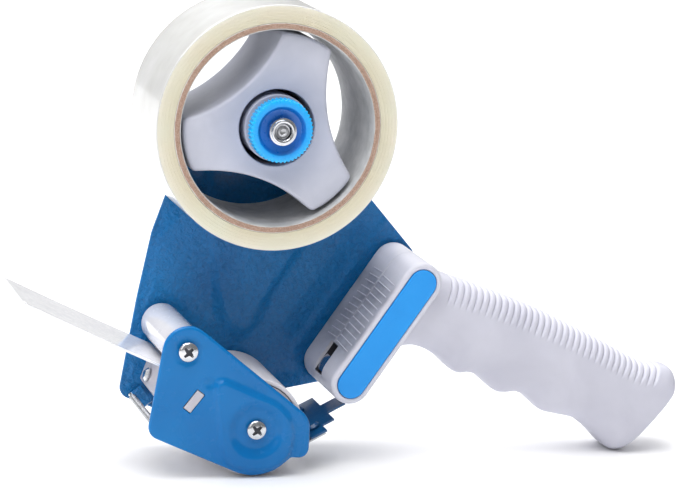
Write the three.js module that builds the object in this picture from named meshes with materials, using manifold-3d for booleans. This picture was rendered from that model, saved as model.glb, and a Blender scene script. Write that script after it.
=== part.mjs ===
// Hand-held packing-tape dispenser with a pistol grip, as an assembly of separate pieces.
// Millimetres. While it is drawn, X runs from the roll's axis towards the end of the grip,
// Y from the small side plate towards the frame plate, and Z up from the table.
// The roll's middle plane is Y = 0. The last lines move the origin to the bottom centre.
import * as THREE from 'three';
import { mergeVertices } from 'three/addons/utils/BufferGeometryUtils.js';
import Module from 'manifold-3d';

const wasm = await Module();
wasm.setup();

// Clearances
const gap = 0.3;                 // between pieces that are fixed to each other
const running = 0.4;             // round a shaft, on the radius
const sideplay = 1.2;            // at each end of a roller

// Roll of tape
const rollWidth = 48;
const rollRadius = 47.6;
const coreBore = 38.1;
const coreWall = 2.65;
const rollAxisHeight = 137.5;

// Side plates
const plateThickness = 1.5;
const nearPlateRoom = 0.7;       // from the roll's near face to the near plate
const framePlateRoom = 2;        // from the roll's far face to the frame plate

// Rollers
const applicationRadius = 19.5;
const sleeveThickness = 1.8;
const rimThickness = 1.8;
const applicationX = -4.8;
const guideRadius = 8;
const guideX = -33;
const guideHeight = 51.2;
const axleRadius = 3.2;
const screwShankRadius = 1.75;
const screwHeadRadius = 4;
const screwHeadHeight = 2.2;
const screwLength = 9;
const smallShankRadius = 1.25;
const smallHeadRadius = 2.9;
const smallHeadHeight = 1.7;

// Hub, spindle and brake knob
const hubSpokeRadius = 36.6;
const hubWaistRadius = 20.8;
const hubSpokeHalfAngle = 16.5;
const hubTurn = 71.5;
const hubWall = 2.2;
const hubRecessRadius = 14.9;
const hubBossRadius = 13;
const hubCupRadius = 9.6;
const hubFrontSetback = 2.5;     // hub's face behind the roll's near face
const hubBackSetback = 4;        // hub's back before the roll's far face
const spindleRadius = 3;
const knobRadius = 12.65;
const knobLength = 5.4;
const knurlCount = 36;

// Tape leaf and its holder
const leafThickness = 1;
const leafLength = 66.4;
const leafSlope = 25.3;
const leafRootX = -36.5;
const leafRootHeight = 42;

// Guard spring
const guardX = -43.8;
const guardHeight = 21;
const guardRodRadius = 0.6;
const guardCoilRadius = 1.4;
const guardTurns = 18;
const guardEndRoom = 3;
const flangeFoot = [-43.8, 22.1];
const flangeBend = 36.5;
const flangeLength = 8;
const flangeWidth = 4.6;
const flangeTilt = 36;

// Cutting blade and its carrier
const carrierThickness = 0.8;
const carrierSlope = 27;
const carrierX = 26.2;
const carrierHeight = 16.8;
const bladeThickness = 0.7;
const toothCount = 20;
const toothDepth = 2;
const tabEnd = 12.4;             // where the carrier's tab turns up
const legHalfWidth = 5.4;
const legHeight = 12.6;
const legY = 2.8;

// Handle
const handleNearY = -18;
const shellWall = 2.4;
const headRadius = 8.2;
const headX = 35.4;
const headHeight = 34.4;
const headLength = 48.5;
const headSlope = 55.75;
const gripHalfWidth = 14;
const gripRound = 3.5;
const headRound = 1.6;
const headRecess = 4;            // how deep the shell screws' heads sit
const inlayRadius = 5.6;
const inlayThickness = 1.5;
const inlayDepth = 1.2;
const louvreCount = 12;
const louvrePitch = 2.9;
const louvreStart = 10;
const louvreHalfWidth = 0.3;

// Planes and axes that follow from the sizes above
const rollNear = -rollWidth / 2;
const rollFar = rollWidth / 2;
const nearInner = rollNear - nearPlateRoom;
const nearOuter = nearInner - plateThickness;
const farInner = rollFar + framePlateRoom;
const farOuter = farInner + plateThickness;
const rollerNear = nearInner + gap + sideplay;
const rollerFar = farInner - gap - sideplay;
const hubNear = rollNear + hubFrontSetback;
const hubFar = rollFar - hubBackSetback;
const headFarY = farInner - gap;
const splitY = (handleNearY + headFarY) / 2;
const rollAxis = [0, rollAxisHeight];
const applicationAxis = [applicationX, applicationRadius];
const guideAxis = [guideX, guideHeight];
const guardAxis = [guardX, guardHeight];
const headStart = [headX, headHeight];
const lobeRadius = applicationRadius - 0.8;
const frameLobeRadius = applicationRadius - 4.5;

// Materials
const paint = (colour, roughness, metalness) =>
  new THREE.MeshStandardMaterial({ color: colour, roughness, metalness });
const glossBlue = paint(0x3688c2, 0.22, 0.1);
const hammeredBlue = paint(0x175a92, 0.45, 0.2);
const greyPlastic = paint(0xbdbdcb, 0.5, 0);
const hubPlastic = paint(0xa9aab9, 0.45, 0);
const inlayBlue = paint(0x2b96e2, 0.45, 0);
const knobBlue = paint(0x1e9bee, 0.35, 0);
const whitePlastic = paint(0xf1f2f3, 0.3, 0);
const rollerRubber = paint(0xd4d3da, 0.6, 0);
const chromeSteel = paint(0xd9dadc, 0.18, 1);
const darkSteel = paint(0x8b8d92, 0.35, 1);
const tapeFilm = paint(0xe6dfc6, 0.25, 0);
const cardboard = paint(0xb09682, 0.9, 0);
const feltGrey = paint(0x4a4a50, 0.95, 0);

// Solids: three.js shapes in, closed solids out
function solidFrom(geometry) {
  const bare = geometry.clone();
  bare.deleteAttribute('normal');
  bare.deleteAttribute('uv');
  const welded = mergeVertices(bare, 1e-4);
  const index = welded.index.array;
  const kept = [];
  for (let i = 0; i < index.length; i += 3) {
    const [a, b, c] = [index[i], index[i + 1], index[i + 2]];
    if (a !== b && b !== c && c !== a) kept.push(a, b, c);
  }
  return new wasm.Manifold(new wasm.Mesh({
    numProp: 3,
    vertProperties: new Float32Array(welded.attributes.position.array),
    triVerts: new Uint32Array(kept),
  }));
}

const join = (...solids) => solids.reduce((whole, piece) => whole.add(piece));
const cut = (base, ...tools) => tools.reduce((rest, tool) => rest.subtract(tool), base);

// A turned geometry about the Y axis; profile is [radius, y] pairs, in either order
function turnedGeometry(profile, segments) {
  let doubledArea = 0;
  profile.forEach(([r, y], i) => {
    const [r2, y2] = profile[(i + 1) % profile.length];
    doubledArea += r * y2 - r2 * y;
  });
  const ordered = doubledArea < 0 ? [...profile].reverse() : [...profile];
  if (profile.some(([r]) => r === 0)) {
    while (!(ordered[0][0] === 0 && ordered[ordered.length - 1][0] === 0)) ordered.push(ordered.shift());
  } else {
    ordered.push(ordered[0]);
  }
  return new THREE.LatheGeometry(ordered.map(([r, y]) => new THREE.Vector2(r, y)), segments);
}

const turned = (profile, [x, z], segments = 32) =>
  solidFrom(turnedGeometry(profile, segments).translate(x, 0, z));

// The same turned about an axis that leaves base at a slope in the X-Z plane
function turnedOnSlope(profile, base, slope, segments = 16) {
  const geometry = turnedGeometry(profile, segments);
  geometry.rotateZ(-Math.PI / 2).rotateY(-THREE.MathUtils.degToRad(slope));
  return solidFrom(geometry.translate(...base));
}

const rod = (radius, y0, y1, axis, segments = 16) =>
  turned([[0, y0], [radius, y0], [radius, y1], [0, y1]], axis, segments);
const ring = (inner, outer, y0, y1, axis, segments = 32) =>
  turned([[inner, y0], [outer, y0], [outer, y1], [inner, y1]], axis, segments);

// An outline in X and Z pushed through Y from y0 to y1, with its edges rounded inwards
function slab(shape, y0, y1, { round = 0, inset = 0, roundSteps = 2, curveSegments = 4 } = {}) {
  const geometry = new THREE.ExtrudeGeometry(shape, {
    depth: y1 - y0 - 2 * round,
    curveSegments,
    bevelEnabled: round > 0,
    bevelThickness: round,
    bevelSize: round,
    bevelOffset: -round - inset,
    bevelSegments: roundSteps,
  });
  return solidFrom(geometry.rotateX(Math.PI / 2).translate(0, y1 - round, 0));
}

// The same outline as straight steps, without the doubled points where two curves meet
function stepped(path, divisions) {
  const points = path.getPoints(divisions);
  return new THREE.Shape(points.filter((point, i) =>
    point.distanceTo(points[(i + points.length - 1) % points.length]) > 0.01));
}

// A closed outline through corners [x, z, radius], each turned by an arc of its radius
const arcStep = Math.PI / 14;
function rounded(corners) {
  const points = [];
  corners.forEach(([x, z, radius], i) => {
    const here = new THREE.Vector2(x, z);
    const before = corners[(i + corners.length - 1) % corners.length];
    const after = corners[(i + 1) % corners.length];
    const back = new THREE.Vector2(before[0], before[1]).sub(here).normalize();
    const ahead = new THREE.Vector2(after[0], after[1]).sub(here).normalize();
    const half = Math.acos(back.dot(ahead)) / 2;
    const centre = back.clone().add(ahead).setLength(radius / Math.sin(half)).add(here);
    const start = back.clone().setLength(radius / Math.tan(half)).add(here).sub(centre);
    const turn = (Math.PI - 2 * half) * (back.cross(ahead) > 0 ? -1 : 1);
    const steps = Math.ceil(Math.abs(turn) / arcStep);
    for (let step = 0; step <= steps; step += 1) {
      points.push(start.clone().rotateAround(new THREE.Vector2(), (turn * step) / steps).add(centre));
    }
  });
  return new THREE.Shape(points.filter((point, i) =>
    point.distanceTo(points[(i + points.length - 1) % points.length]) > 0.05));
}

// The corner between two lines that both touch a circle, given by their outward normals in degrees
function tangentCorner([x, z], radius, from, to) {
  const middle = THREE.MathUtils.degToRad((from + to) / 2);
  const reach = radius / Math.cos(THREE.MathUtils.degToRad((to - from) / 2));
  return [x + reach * Math.cos(middle), z + reach * Math.sin(middle), radius];
}

// A point on the line that touches a circle where its outward normal has the given angle in degrees
function onTangent([x, z], radius, normal, distance) {
  const angle = THREE.MathUtils.degToRad(normal);
  return [
    x + radius * Math.cos(angle) - distance * Math.sin(angle),
    z + radius * Math.sin(angle) + distance * Math.cos(angle),
  ];
}

// A slot-shaped outline round a centreline from one end to the other
function stadium([x0, z0], [x1, z1], radius, divisions = 5) {
  const along = Math.atan2(z1 - z0, x1 - x0);
  const shape = new THREE.Shape();
  shape.absarc(x1, z1, radius, along - Math.PI / 2, along + Math.PI / 2, false);
  shape.absarc(x0, z0, radius, along + Math.PI / 2, along + Math.PI * 1.5, false);
  return stepped(shape, divisions);
}

// A box in a frame tilted in the X-Z plane: u along the slope, v across it, y along Y
function tiltedBox([x, z], slope, [u0, u1], [v0, v1], [y0, y1]) {
  const box = new THREE.BoxGeometry(u1 - u0, y1 - y0, v1 - v0);
  box.translate((u0 + u1) / 2, (y0 + y1) / 2, (v0 + v1) / 2);
  box.rotateY(-THREE.MathUtils.degToRad(slope));
  return solidFrom(box.translate(x, 0, z));
}

function onSlope([x, z], slope, u, v) {
  const a = THREE.MathUtils.degToRad(slope);
  return [x + u * Math.cos(a) - v * Math.sin(a), z + u * Math.sin(a) + v * Math.cos(a)];
}

// The collection of named pieces
const dispenser = new THREE.Group();

function add(name, solid, material) {
  const { vertProperties, triVerts, numProp } = solid.getMesh();
  const geometry = new THREE.BufferGeometry();
  const positions = new Float32Array((vertProperties.length / numProp) * 3);
  for (let i = 0; i < positions.length / 3; i += 1) {
    positions.set(vertProperties.subarray(i * numProp, i * numProp + 3), i * 3);
  }
  geometry.setAttribute('position', new THREE.BufferAttribute(positions, 3));
  geometry.setIndex(new THREE.BufferAttribute(new Uint32Array(triVerts), 1));
  geometry.computeVertexNormals();
  const mesh = new THREE.Mesh(geometry, material);
  mesh.name = name;
  dispenser.add(mesh);
}

// A cross-head screw: a domed head whose flat underside lies at seat, pointing along facing (-1 or +1)
function screw(axis, seat, facing, length, { shank, head, height }) {
  const at = (distance) => seat + facing * distance;
  const body = turned([
    [0, at(-length)], [shank * 0.6, at(-length)], [shank, at(-length + shank)], [shank, at(0)],
    [head, at(0)], [head, at(height * 0.4)], [head * 0.7, at(height * 0.9)], [0, at(height)],
  ], axis, 14);
  const reach = head * 0.55;
  const slot = [at(height * 0.3), at(height * 2)].sort((a, b) => a - b);
  const crossed = [40, 130].map((turn) =>
    tiltedBox(axis, turn, [-reach, reach], [-head * 0.1, head * 0.1], slot));
  return cut(body, ...crossed);
}
const largeScrew = { shank: screwShankRadius, head: screwHeadRadius, height: screwHeadHeight };
const smallScrew = { shank: smallShankRadius, head: smallHeadRadius, height: smallHeadHeight };

// Frame plate: far side, tapering up to the spindle
const holderSlot = { centre: [-29.9, 31.3], slope: 52, halfLength: 4.3, halfWidth: 1.7 };

const headEnd = onSlope(headStart, headSlope, headLength, 0);
const plateScrewPlaces = [8, 38].map((u) => onSlope(headStart, headSlope, u, 0));

function holderTabHole(y0, y1, clearance) {
  const { centre, slope, halfLength, halfWidth } = holderSlot;
  const u = halfLength + clearance;
  const v = halfWidth + clearance;
  return tiltedBox(centre, slope, [-u, u], [-v, v], [y0, y1]);
}

function framePlate() {
  const outline = rounded([
    tangentCorner(rollAxis, 15.4, 156.5, 41.1),
    [72.5, 77.8, 3],
    [66.5, 68, 6],
    [39.5, 25.6, 4],
    [...onTangent(applicationAxis, frameLobeRadius, -20, 6.5), 4],
    tangentCorner(applicationAxis, frameLobeRadius, -20, -90),
    tangentCorner(applicationAxis, frameLobeRadius, -90, -112),
    [...onTangent(applicationAxis, frameLobeRadius, -112, -41.6), 5],
    [-42.6, 61, 30],
    [-37.3, 87.8, 30],
    [-31.8, 103.5, 1.5],
  ]);
  const sheet = slab(outline, farInner, farOuter);
  const through = (radius, axis) => rod(radius, farInner - 8, farOuter + 1, axis);
  return cut(
    sheet,
    through(spindleRadius + gap, rollAxis),
    through(screwShankRadius + gap, guideAxis),
    through(screwShankRadius + gap, applicationAxis),
    through(guardRodRadius + gap, guardAxis),
    ...plateScrewPlaces.map((place) => through(smallShankRadius + gap, place)),
    holderTabHole(farInner - 1, farOuter + 1, gap),
  );
}
add('frame_plate', framePlate(), hammeredBlue);

// A small bracket leaning inwards from the frame plate, round the guard rod
function springBracket() {
  const sheet = new THREE.BoxGeometry(flangeWidth, plateThickness, flangeLength);
  sheet.translate(flangeWidth / 2, 0, -flangeLength / 2);
  sheet.rotateX(THREE.MathUtils.degToRad(-flangeTilt));
  sheet.rotateY(-THREE.MathUtils.degToRad(flangeBend));
  sheet.computeBoundingBox();
  sheet.translate(flangeFoot[0], farInner - gap - sheet.boundingBox.max.y, flangeFoot[1]);
  return cut(solidFrom(sheet), rod(guardRodRadius + gap, farInner - 12, farInner, guardAxis));
}
add('spring_bracket', springBracket(), hammeredBlue);

// Near plate: carries the two rollers and the leaf holder on the near side
function nearPlateOutline() {
  return rounded([
    tangentCorner(guideAxis, guideRadius + 1.8, 171, 50.8),
    [applicationX + lobeRadius + 3.3, applicationRadius + 3.7, 9],
    [applicationX + lobeRadius + 3.1, applicationRadius - 12.6, 4],
    [...onTangent(applicationAxis, lobeRadius, -48, 2.9), 1.5],
    tangentCorner(applicationAxis, lobeRadius, -48, -90),
    tangentCorner(applicationAxis, lobeRadius, -90, -114),
    [...onTangent(applicationAxis, lobeRadius, -114, -38.9), 5.5],
  ]);
}
add('near_plate', cut(
  slab(nearPlateOutline(), nearOuter, nearInner, { round: 0.4, roundSteps: 1 }),
  rod(screwShankRadius + gap, nearOuter - 1, nearInner + 1, guideAxis),
  rod(screwShankRadius + gap, nearOuter - 1, nearInner + 1, applicationAxis),
  rod(guardRodRadius + gap, nearOuter - 1, nearInner + 1, guardAxis),
  holderTabHole(nearOuter - 1, nearInner + 1, gap),
), glossBlue);

// Axles: spacers between the plates, with a screw in each end
function axle(axis) {
  const bore = screwShankRadius + gap;
  const [y0, y1] = [nearInner + gap, farInner - gap];
  const depth = 10;
  return turned([
    [0, y0 + depth], [bore, y0 + depth], [bore, y0], [axleRadius, y0],
    [axleRadius, y1], [bore, y1], [bore, y1 - depth], [0, y1 - depth],
  ], axis, 16);
}
[['guide', guideAxis], ['application', applicationAxis]].forEach(([name, axis]) => {
  add(`${name}_axle`, axle(axis), chromeSteel);
  add(`${name}_screw_near`, screw(axis, nearOuter - gap, -1, screwLength, largeScrew), chromeSteel);
  add(`${name}_screw_far`, screw(axis, farOuter + gap, 1, screwLength, largeScrew), chromeSteel);
});

// Guide roller
add('guide_roller', turned([
  [axleRadius + running, rollerNear], [guideRadius - 0.6, rollerNear], [guideRadius, rollerNear + 0.6],
  [guideRadius, rollerFar - 0.6], [guideRadius - 0.6, rollerFar], [axleRadius + running, rollerFar],
], guideAxis, 28), greyPlastic);

// Application roller: a webbed core inside a rubber sleeve
const coreOuter = applicationRadius - sleeveThickness - gap;
const tubeRadius = axleRadius + running + 2;
const webHalf = 1.5;
add('application_core', turned([
  [axleRadius + running, rollerNear], [tubeRadius, rollerNear],
  [tubeRadius, -webHalf], [coreOuter - rimThickness, -webHalf],
  [coreOuter - rimThickness, rollerNear], [coreOuter, rollerNear],
  [coreOuter, rollerFar], [coreOuter - rimThickness, rollerFar],
  [coreOuter - rimThickness, webHalf], [tubeRadius, webHalf],
  [tubeRadius, rollerFar], [axleRadius + running, rollerFar],
], applicationAxis, 32), greyPlastic);
add('application_sleeve', turned([
  [applicationRadius - sleeveThickness, rollerNear], [applicationRadius - 0.5, rollerNear],
  [applicationRadius, rollerNear + 0.5], [applicationRadius, rollerFar - 0.5],
  [applicationRadius - 0.5, rollerFar], [applicationRadius - sleeveThickness, rollerFar],
], applicationAxis, 48), rollerRubber);

// Leaf holder: a block between the plates, with a tab through each
const leafRoot = [leafRootX, leafRootHeight];
const leafBearing = 180 - leafSlope;
const holderFaceBearing = 160.5;
const holderFace = onSlope([leafRootX - 4, leafRootHeight - 14], holderFaceBearing - 90, 4, 0);
function leafHolder() {
  const block = slab(rounded([
    [leafRootX + 0.6, leafRootHeight - 1, 0.3],
    [leafRootX - 4, leafRootHeight - 14, 1.5],
    [-35, 20.8, 1.5],
    [-29, 23, 2],
    [-25.6, 31, 2],
    [-27.2, 38.2, 2],
  ]), nearInner + gap, farInner - gap);
  const tab = holderTabHole(nearOuter, farOuter, 0);
  const bores = holderScrewPlaces.map(({ y }) => turnedOnSlope(
    [[0, -9], [smallShankRadius + gap, -9], [smallShankRadius + gap, 1], [0, 1]],
    [holderFace[0], y, holderFace[1]], holderFaceBearing));
  return cut(join(block, tab), ...bores);
}
const holderScrewPlaces = [{ name: 'near', y: -12 }, { name: 'far', y: 15 }];
add('leaf_holder', leafHolder(), greyPlastic);

const smallScrewProfile = (length) => [
  [0, -length], [smallShankRadius, -length], [smallShankRadius, gap], [smallHeadRadius, gap],
  [smallHeadRadius, gap + smallHeadHeight * 0.4], [smallHeadRadius * 0.6, gap + smallHeadHeight],
  [0, gap + smallHeadHeight],
];
holderScrewPlaces.forEach(({ name, y }) => {
  const base = [holderFace[0], y, holderFace[1]];
  const profile = smallScrewProfile(8);
  add(`holder_screw_${name}`, turnedOnSlope(profile, base, holderFaceBearing), chromeSteel);
});

// Flexible leaf: a springy sheet whose rounded root is its bending line
function leaf() {
  const half = leafThickness / 2;
  const shape = new THREE.Shape();
  const tip = onSlope(leafRoot, leafBearing, leafLength, 0);
  const corner = (u, v) => onSlope(leafRoot, leafBearing, u, v);
  const root = THREE.MathUtils.degToRad(leafBearing);
  shape.absarc(leafRoot[0], leafRoot[1], half, root + Math.PI / 2, root + Math.PI * 1.5, false);
  shape.lineTo(...corner(leafLength, -half * 0.6));
  shape.lineTo(...corner(leafLength, half * 0.6));
  const sheet = slab(stepped(shape, 3), nearInner + 2, farInner - 2);
  return join(sheet, rod(1, nearInner + 1, nearInner + 4, tip, 10));
}
add('leaf', leaf(), whitePlastic);

// Guard spring: a close coil on a thin rod between the plates
function closeCoil(inner, outer, y0, y1, turns, axis, segments = 16) {
  const pitch = (y1 - y0) / turns;
  const profile = [[inner, y0]];
  for (let i = 0; i < turns; i += 1) {
    profile.push([outer * 0.86, y0 + i * pitch], [outer, y0 + (i + 0.5) * pitch]);
  }
  profile.push([outer * 0.86, y1], [inner, y1]);
  return turned(profile, axis, segments);
}
add('guard_rod', rod(guardRodRadius, nearOuter, farOuter, guardAxis, 12), chromeSteel);
add('guard_spring', closeCoil(
  guardRodRadius + gap, guardCoilRadius, nearInner + gap, farInner - guardEndRoom,
  guardTurns, guardAxis, 10,
), chromeSteel);

// Spindle: a bolt from the frame plate, locked by a nut, that the hub turns on
const hexRadius = spindleRadius * 1.92;
const boltHeadRadius = screwHeadRadius + 1.8;
const nutFace = farInner - gap;
const nutThickness = 2.9;
const boltEnd = rollNear - 8.6;
const knobFront = rollNear - 6;
const knobBack = knobFront + knobLength;
const seatY = hubNear + 12;
add('spindle_bolt', turned([
  [0, boltEnd], [spindleRadius - 0.6, boltEnd], [spindleRadius, boltEnd + 0.6],
  [spindleRadius, farOuter + gap], [boltHeadRadius, farOuter + gap],
  [boltHeadRadius, farOuter + gap + 2], [0, farOuter + gap + 2.6],
], rollAxis, 24), chromeSteel);
const threadHole = (y0, y1) => rod(spindleRadius + gap, y0 - 1, y1 + 1, rollAxis);
add('spindle_nut', cut(
  rod(hexRadius, nutFace - nutThickness, nutFace, rollAxis, 6), threadHole(nutFace - nutThickness, nutFace),
), chromeSteel);
add('friction_washer', ring(
  spindleRadius + gap, hubCupRadius, hubFar + gap, nutFace - nutThickness - gap, rollAxis, 32,
), feltGrey);

// Hub: three spokes with deep side walls, a central boss in a recess and a cup for the brake spring
function hubOutline(inset) {
  const shape = new THREE.Shape();
  const tipAngle = THREE.MathUtils.degToRad(60 - hubSpokeHalfAngle);
  const rise = hubSpokeRadius * Math.cos(tipAngle) - hubWaistRadius;
  const hollowRadius = ((hubSpokeRadius * Math.sin(tipAngle)) ** 2 + rise * rise) / (2 * rise);
  const hollowDistance = hubWaistRadius + hollowRadius;
  for (let i = 0; i < 3; i += 1) {
    const spoke = hubTurn + i * 120;
    const tips = [-hubSpokeHalfAngle, hubSpokeHalfAngle].map((a) => THREE.MathUtils.degToRad(spoke + a));
    const trim = inset / hubSpokeRadius;
    shape.absarc(0, rollAxisHeight, hubSpokeRadius - inset, tips[0] + trim, tips[1] - trim, false);
    const hollow = THREE.MathUtils.degToRad(spoke + 60);
    const centre = [hollowDistance * Math.cos(hollow), rollAxisHeight + hollowDistance * Math.sin(hollow)];
    const last = hubSpokeRadius - inset;
    const from = tips[1] - trim;
    const to = THREE.MathUtils.degToRad(spoke + 120 - hubSpokeHalfAngle) + trim;
    const bearing = (a) =>
      Math.atan2(rollAxisHeight + last * Math.sin(a) - centre[1], last * Math.cos(a) - centre[0]);
    shape.absarc(centre[0], centre[1], hollowRadius + inset, bearing(from), bearing(to), true);
  }
  return stepped(shape, 4);
}
function hub() {
  const faceThickness = 2.6;
  const outer = slab(hubOutline(0), hubNear, hubFar, { round: 0.8 });
  const hollow = slab(hubOutline(hubWall), hubNear + faceThickness, hubFar + 1);
  const recessWall = hubRecessRadius + 2;
  const tube = rod(recessWall, hubNear + 0.5, hubFar, rollAxis, 36);
  const groove = ring(hubBossRadius, hubRecessRadius, hubNear - 1, hubFar - 3, rollAxis, 36);
  const boss = rod(hubBossRadius, hubNear - 1.6, hubFar, rollAxis, 36);
  const cup = rod(hubCupRadius, hubNear - 3, seatY, rollAxis, 28);
  const bore = rod(spindleRadius + running, hubNear, hubFar + 1, rollAxis, 24);
  const body = join(cut(outer, hollow), tube);
  const open = cut(body, rod(hubRecessRadius, hubNear - 1, hubFar - 3, rollAxis, 36));
  return cut(join(open, cut(boss, cup)), groove, bore);
}
add('hub', hub(), hubPlastic);

// Brake: spring, washer and knob on the spindle, held by a locknut
add('brake_washer', ring(
  spindleRadius + gap, hubCupRadius - running, seatY - gap - 1, seatY - gap, rollAxis, 28,
), chromeSteel);
add('brake_spring', closeCoil(
  hubCupRadius - 3.2, hubCupRadius - 0.8, knobBack + 3, seatY - 1 - 2 * gap, 6, rollAxis, 20,
), chromeSteel);
function knob() {
  const stem = hubCupRadius - 3.2 - running;
  const body = turned([
    [spindleRadius + running, knobFront + 1.6], [hubCupRadius - 1.6, knobFront + 1.6],
    [hubCupRadius + 0.4, knobFront], [knobRadius - 0.8, knobFront],
    [knobRadius - 0.2, knobFront + 0.8], [knobRadius - 0.2, knobBack - 0.4],
    [stem, knobBack - 0.4], [stem, knobBack + 6], [spindleRadius + running, knobBack + 6],
  ], rollAxis, knurlCount);
  const notches = [];
  const notchDistance = knobRadius + 0.15;
  for (let i = 0; i < knurlCount; i += 1) {
    const angle = (i * 2 * Math.PI) / knurlCount;
    const place = [notchDistance * Math.cos(angle), rollAxisHeight + notchDistance * Math.sin(angle)];
    notches.push(rod(0.6, knobFront - 1, knobBack + 1, place, 4));
  }
  return cut(body, ...notches);
}
add('brake_knob', knob(), knobBlue);
add('knob_locknut', cut(turned([
  [0, knobFront - 2.2], [hexRadius * 0.8, knobFront - 2.2], [hexRadius, knobFront - 1.5],
  [hexRadius, knobFront + 1.3], [0, knobFront + 1.3],
], rollAxis, 6), threadHole(knobFront - 2.2, knobFront + 1.3)), chromeSteel);

// Tape and its cardboard core
add('tape_core', ring(coreBore, coreBore + coreWall, rollNear, rollFar, rollAxis, 60), cardboard);
add('tape_roll', ring(coreBore + coreWall + gap, rollRadius, rollNear, rollFar, rollAxis, 60), tapeFilm);

// Handle: a head block and a grip, moulded as two shells that meet at splitY
const gripOutline = (() => {
  const shape = new THREE.Shape();
  shape.moveTo(58, 62);
  shape.lineTo(64, 78.6);
  const through = (points) => shape.splineThru(points.map(([x, z]) => new THREE.Vector2(x, z)));
  through([
    [84.8, 71.9], [100.8, 66.1], [121.9, 57.4], [143.4, 46.9], [159.8, 38.2], [167, 35.7], [173, 34.9],
  ]);
  through([
    [177, 33.3], [178.2, 29.6], [176, 25], [166.5, 12.3], [160.4, 4.7], [156.4, 1.2], [152.3, 0.2],
  ]);
  through([
    [148.9, 1.9], [143.4, 7.4], [138.7, 11.2], [134.2, 14.1], [124.8, 16.3], [120.8, 17.4],
    [117.1, 20.4], [113, 23.9], [108.8, 25.6], [103.1, 25.5], [99.7, 26.6], [92.5, 32.6],
    [87.9, 34.2], [82.7, 34.5], [75.1, 40.9], [68.1, 44.9], [60, 46],
  ]);
  shape.lineTo(48, 44);
  return stepped(shape, 2);
})();
const gripNear = splitY - gripHalfWidth;
const gripFar = splitY + gripHalfWidth;
const headShape = stadium(headStart, headEnd, headRadius);

function gripBody(inset) {
  return slab(gripOutline, gripNear + inset, gripFar - inset,
    { round: gripRound - inset, inset });
}
function headBody(inset) {
  return slab(headShape, handleNearY + inset, headFarY - inset,
    { round: inset > 0 ? 0.6 : headRound, inset, roundSteps: 1 });
}
function louvres() {
  const fins = [];
  for (let i = 0; i < louvreCount; i += 1) {
    const u = louvreStart + i * louvrePitch;
    const along = [u - louvreHalfWidth, u + louvreHalfWidth];
    const proud = [headRadius - 0.5, headRadius + 0.5];
    fins.push(tiltedBox(headStart, headSlope, along, proud, [handleNearY + 3, splitY - 0.6]));
    fins.push(tiltedBox(headStart, headSlope, along, proud, [splitY + 0.6, headFarY - 9]));
  }
  return fins;
}
const shellScrewPlaces = [[76, 58], [112, 42], [152, 23]];
const carrierStart = [carrierX, carrierHeight];
const legFoot = onSlope(carrierStart, carrierSlope, tabEnd, 0);

function handleShell(sideStart, sideEnd, screwSide) {
  const halfSpace = tiltedBox([0, 0], 0, [-20, 220], [-20, 220], [sideStart, sideEnd]);
  const outer = join(headBody(0), gripBody(0), ...louvres());
  const cavity = join(headBody(shellWall), gripBody(shellWall));
  const pillars = shellScrewPlaces.map((place) => rod(3.4, gripNear + 1, gripFar - 1, place, 12));
  const headPillars = plateScrewPlaces.map((place) => rod(3.2, splitY + 6, headFarY - 1, place, 12));
  const hollowed = join(cut(outer, cavity), ...pillars, ...headPillars).intersect(halfSpace);
  const bore = smallShankRadius + gap;
  const bores = shellScrewPlaces.map((place) => (screwSide > 0
    ? join(
      rod(bore, splitY - 1, gripFar + 1, place),
      rod(smallHeadRadius + gap, gripFar - headRecess, gripFar + 1, place))
    : rod(bore, splitY - 9, splitY + 1, place)));
  const headBores = plateScrewPlaces.map((place) => rod(bore, splitY + 10, headFarY + 1, place));
  const inlayBed = slab(
    stadium(headStart, headEnd, inlayRadius + gap), handleNearY - 1, handleNearY + inlayDepth);
  const window = tiltedBox(headStart, headSlope, [-3, 8], [headRadius - shellWall - 1.5, headRadius + 1],
    [splitY - 4, splitY + 4]);
  const legRoom = carrierThickness / 2 + gap;
  const legSlot = tiltedBox(legFoot, 90, [-1, legHeight + gap], [-legRoom, legRoom],
    [legY - legHalfWidth - gap, legY + legHalfWidth + gap]);
  return cut(hollowed, ...bores, ...headBores, inlayBed, window, legSlot);
}
add('handle_shell_near', handleShell(handleNearY - 5, splitY - gap / 2, -1), greyPlastic);
add('handle_shell_far', handleShell(splitY + gap / 2, headFarY + 5, 1), greyPlastic);
const inlayBack = handleNearY + inlayDepth - gap;
add('handle_inlay', slab(
  stadium(headStart, headEnd, inlayRadius), inlayBack - inlayThickness, inlayBack,
  { round: 0.3, roundSteps: 1 },
), inlayBlue);
shellScrewPlaces.forEach((place, i) => {
  const seat = gripFar - headRecess + gap;
  add(`shell_screw_${i + 1}`, screw(place, seat, 1, gripHalfWidth + 2, smallScrew), chromeSteel);
});
plateScrewPlaces.forEach((place, i) => {
  add(`plate_screw_${i + 1}`, screw(place, farOuter + gap, 1, screwLength, smallScrew), chromeSteel);
});

// Latch spring: a bent steel strip behind the head's window
function latchSpring() {
  const shape = new THREE.Shape();
  const [x, z] = onSlope(headStart, headSlope, 1.5, -2.2);
  const out = THREE.MathUtils.degToRad(headSlope + 90);
  shape.absarc(x, z, 7.2, out - 0.75, out + 0.75, false);
  shape.absarc(x, z, 6.5, out + 0.75, out - 0.75, true);
  return slab(shape, splitY - 2, splitY + 2.4, { curveSegments: 6 });
}
add('latch_spring', latchSpring(), chromeSteel);

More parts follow.
